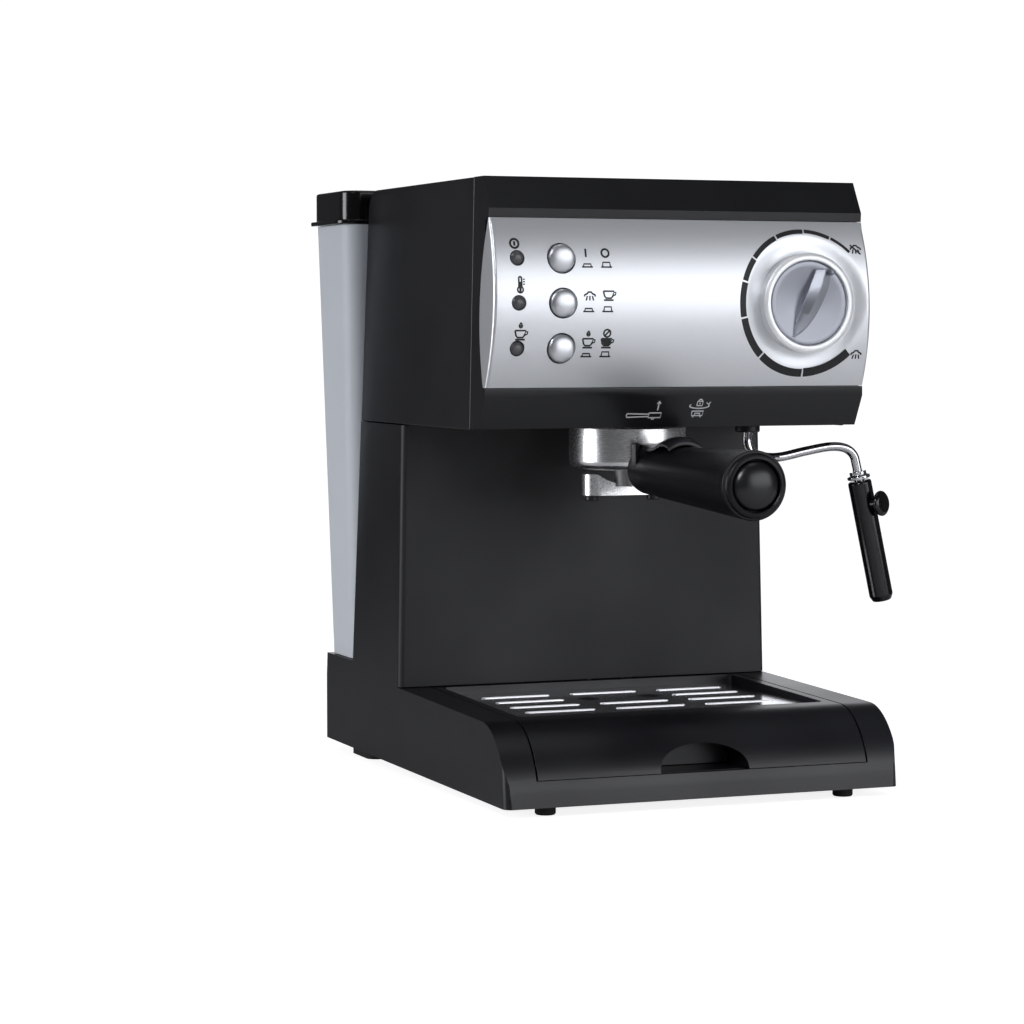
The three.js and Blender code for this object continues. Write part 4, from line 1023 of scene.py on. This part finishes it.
place(lid(), GLOSS_BLACK, "lid", "tank_lid")
place(collar(), SATIN_BLACK, node="wand_collar")
place(wand_pipe(), CHROME, "wand", "wand_tube")
place(nut(), CHROME, "wand", "wand_nut")
place(sleeve(), GLOSS_BLACK, "sleeve", "froth_sleeve")
place(dark_marks(), INK_DARK)
place(light_marks(), INK_LIGHT)

# ---- finishes of the pieces that keep their CAD shape ----
KEPT = {
    RUBBER: ("front_foot_left", "front_foot_right", "rear_foot_left", "rear_foot_right", "boiler_gasket",
             "group_gasket", "cord_gland"),
    SHEET: ("base_plate", "pump_mount", "heating_element"),
    SATIN_BLACK: ("head_bottom_plate", "switch_bank", "tank_valve_seat"),
    BOARD: ("control_board",),
    BRASS: ("valve_stem", "steam_valve_body", "steam_feed_pipe", "steam_pipe"),
    CAST_METAL_AND_SHADE: ("boiler_lower", "boiler_upper", "group_ring"),
    PALE: ("brew_thermostat", "steam_thermostat", "tank_valve", "pump_body"),
    CHROME: ("shower_screen", "shower_screw", "filter_basket"),
    COPPER: ("pump_coil",),
    HOSE: ("water_hose", "pressure_hose"),
}
for material, names in KEPT.items():
    for name in names:
        mesh = frame["nodes"][name].data
        mesh.materials.clear()
        mesh.materials.append(material)


# ---- floor, light and camera ----
def floor():
    bm = bmesh.new()
    bmesh.ops.create_grid(bm, x_segments=1, y_segments=1, size=1.1)
    plane = to_object(bm, "floor")
    plane.location = (0, -0.35, 0)
    material = new_material("floor_white", (0.6, 0.6, 0.6), 0.7)
    nodes, links = material.node_tree.nodes, material.node_tree.links
    shader = nodes["Principled BSDF"]
    shader.inputs["Emission Color"].default_value = (1, 1, 1, 1)
    rays = nodes.new("ShaderNodeLightPath")
    glow = nodes.new("ShaderNodeMath")
    glow.operation = "MULTIPLY"
    glow.inputs[1].default_value = FLOOR_GLOW
    links.new(rays.outputs["Is Camera Ray"], glow.inputs[0])
    links.new(glow.outputs["Value"], shader.inputs["Emission Strength"])
    plane.data.materials.append(material)


def panel(name, where, aim, size, radiance, spread=180):
    """A soft light box. Its power follows from how bright its face looks."""
    data = bpy.data.lights.new(name, "AREA")
    data.shape = "RECTANGLE"
    data.size, data.size_y = size
    data.energy = radiance * math.pi * size[0] * size[1]
    data.spread = math.radians(spread)
    data.color = (0.95, 0.97, 1.0)
    light = bpy.data.objects.new(name, data)
    light.location = where
    direction = Vector(aim) - Vector(where)
    light.rotation_euler = direction.to_track_quat("-Z", "Y").to_euler()
    light.visible_camera = False
    bpy.context.scene.collection.objects.link(light)


def camera():
    data = bpy.data.cameras.new("camera")
    data.sensor_width = 36
    data.lens = 105.26
    data.clip_end = 50
    view = bpy.data.objects.new("camera", data)
    view.location = Vector((-623.49, -1340.32, 236.29)) * MM + HOME
    view.rotation_euler = (math.radians(90 - 3.474), 0, math.radians(-21.257))
    bpy.context.scene.collection.objects.link(view)
    bpy.context.scene.camera = view


def world():
    """A white backdrop that lights the object only dimly, as a cut-out studio picture has."""
    sky = bpy.data.worlds.new("studio")
    sky.use_nodes = True
    nodes, links = sky.node_tree.nodes, sky.node_tree.links
    room = nodes["Background"]
    room.inputs["Color"].default_value = (0.95, 0.97, 1.0, 1)
    room.inputs["Strength"].default_value = ROOM_GLOW
    backdrop = nodes.new("ShaderNodeBackground")
    backdrop.inputs["Color"].default_value = (1, 1, 1, 1)
    backdrop.inputs["Strength"].default_value = 1.05
    mix = nodes.new("ShaderNodeMixShader")
    rays = nodes.new("ShaderNodeLightPath")
    links.new(rays.outputs["Is Camera Ray"], mix.inputs["Fac"])
    links.new(room.outputs["Background"], mix.inputs[1])
    links.new(backdrop.outputs["Background"], mix.inputs[2])
    links.new(mix.outputs["Shader"], nodes["World Output"].inputs["Surface"])
    bpy.context.scene.world = sky


FLOOR_GLOW = 0.85
ROOM_GLOW = 0.07
MIDDLE = (0, 0, 0.18)
floor()
panel("front_box", (1.4, -2.5, 0.72), MIDDLE, (2.6, 1.35), 2.7)
panel("floor_box", (-1.2, -1.7, 1.4), (0.45, -0.75, 0), (1.0, 0.8), 2.4, 40)
panel("top_box", (0, 0.1, 1.9), MIDDLE, (1.2, 1.2), 0.6)
panel("high_box", (0.3, -0.8, 2.2), (0, -0.2, 0), (0.7, 0.5), 1.6)
panel("back_box", (1.0, 2.4, 0.6), MIDDLE, (1.5, 1.3), 1.4)
panel("left_box", (-2.3, 0.5, 0.5), MIDDLE, (1.0, 1.2), 7.2)
camera()
world()
bpy.context.scene.view_settings.view_transform = "Standard"
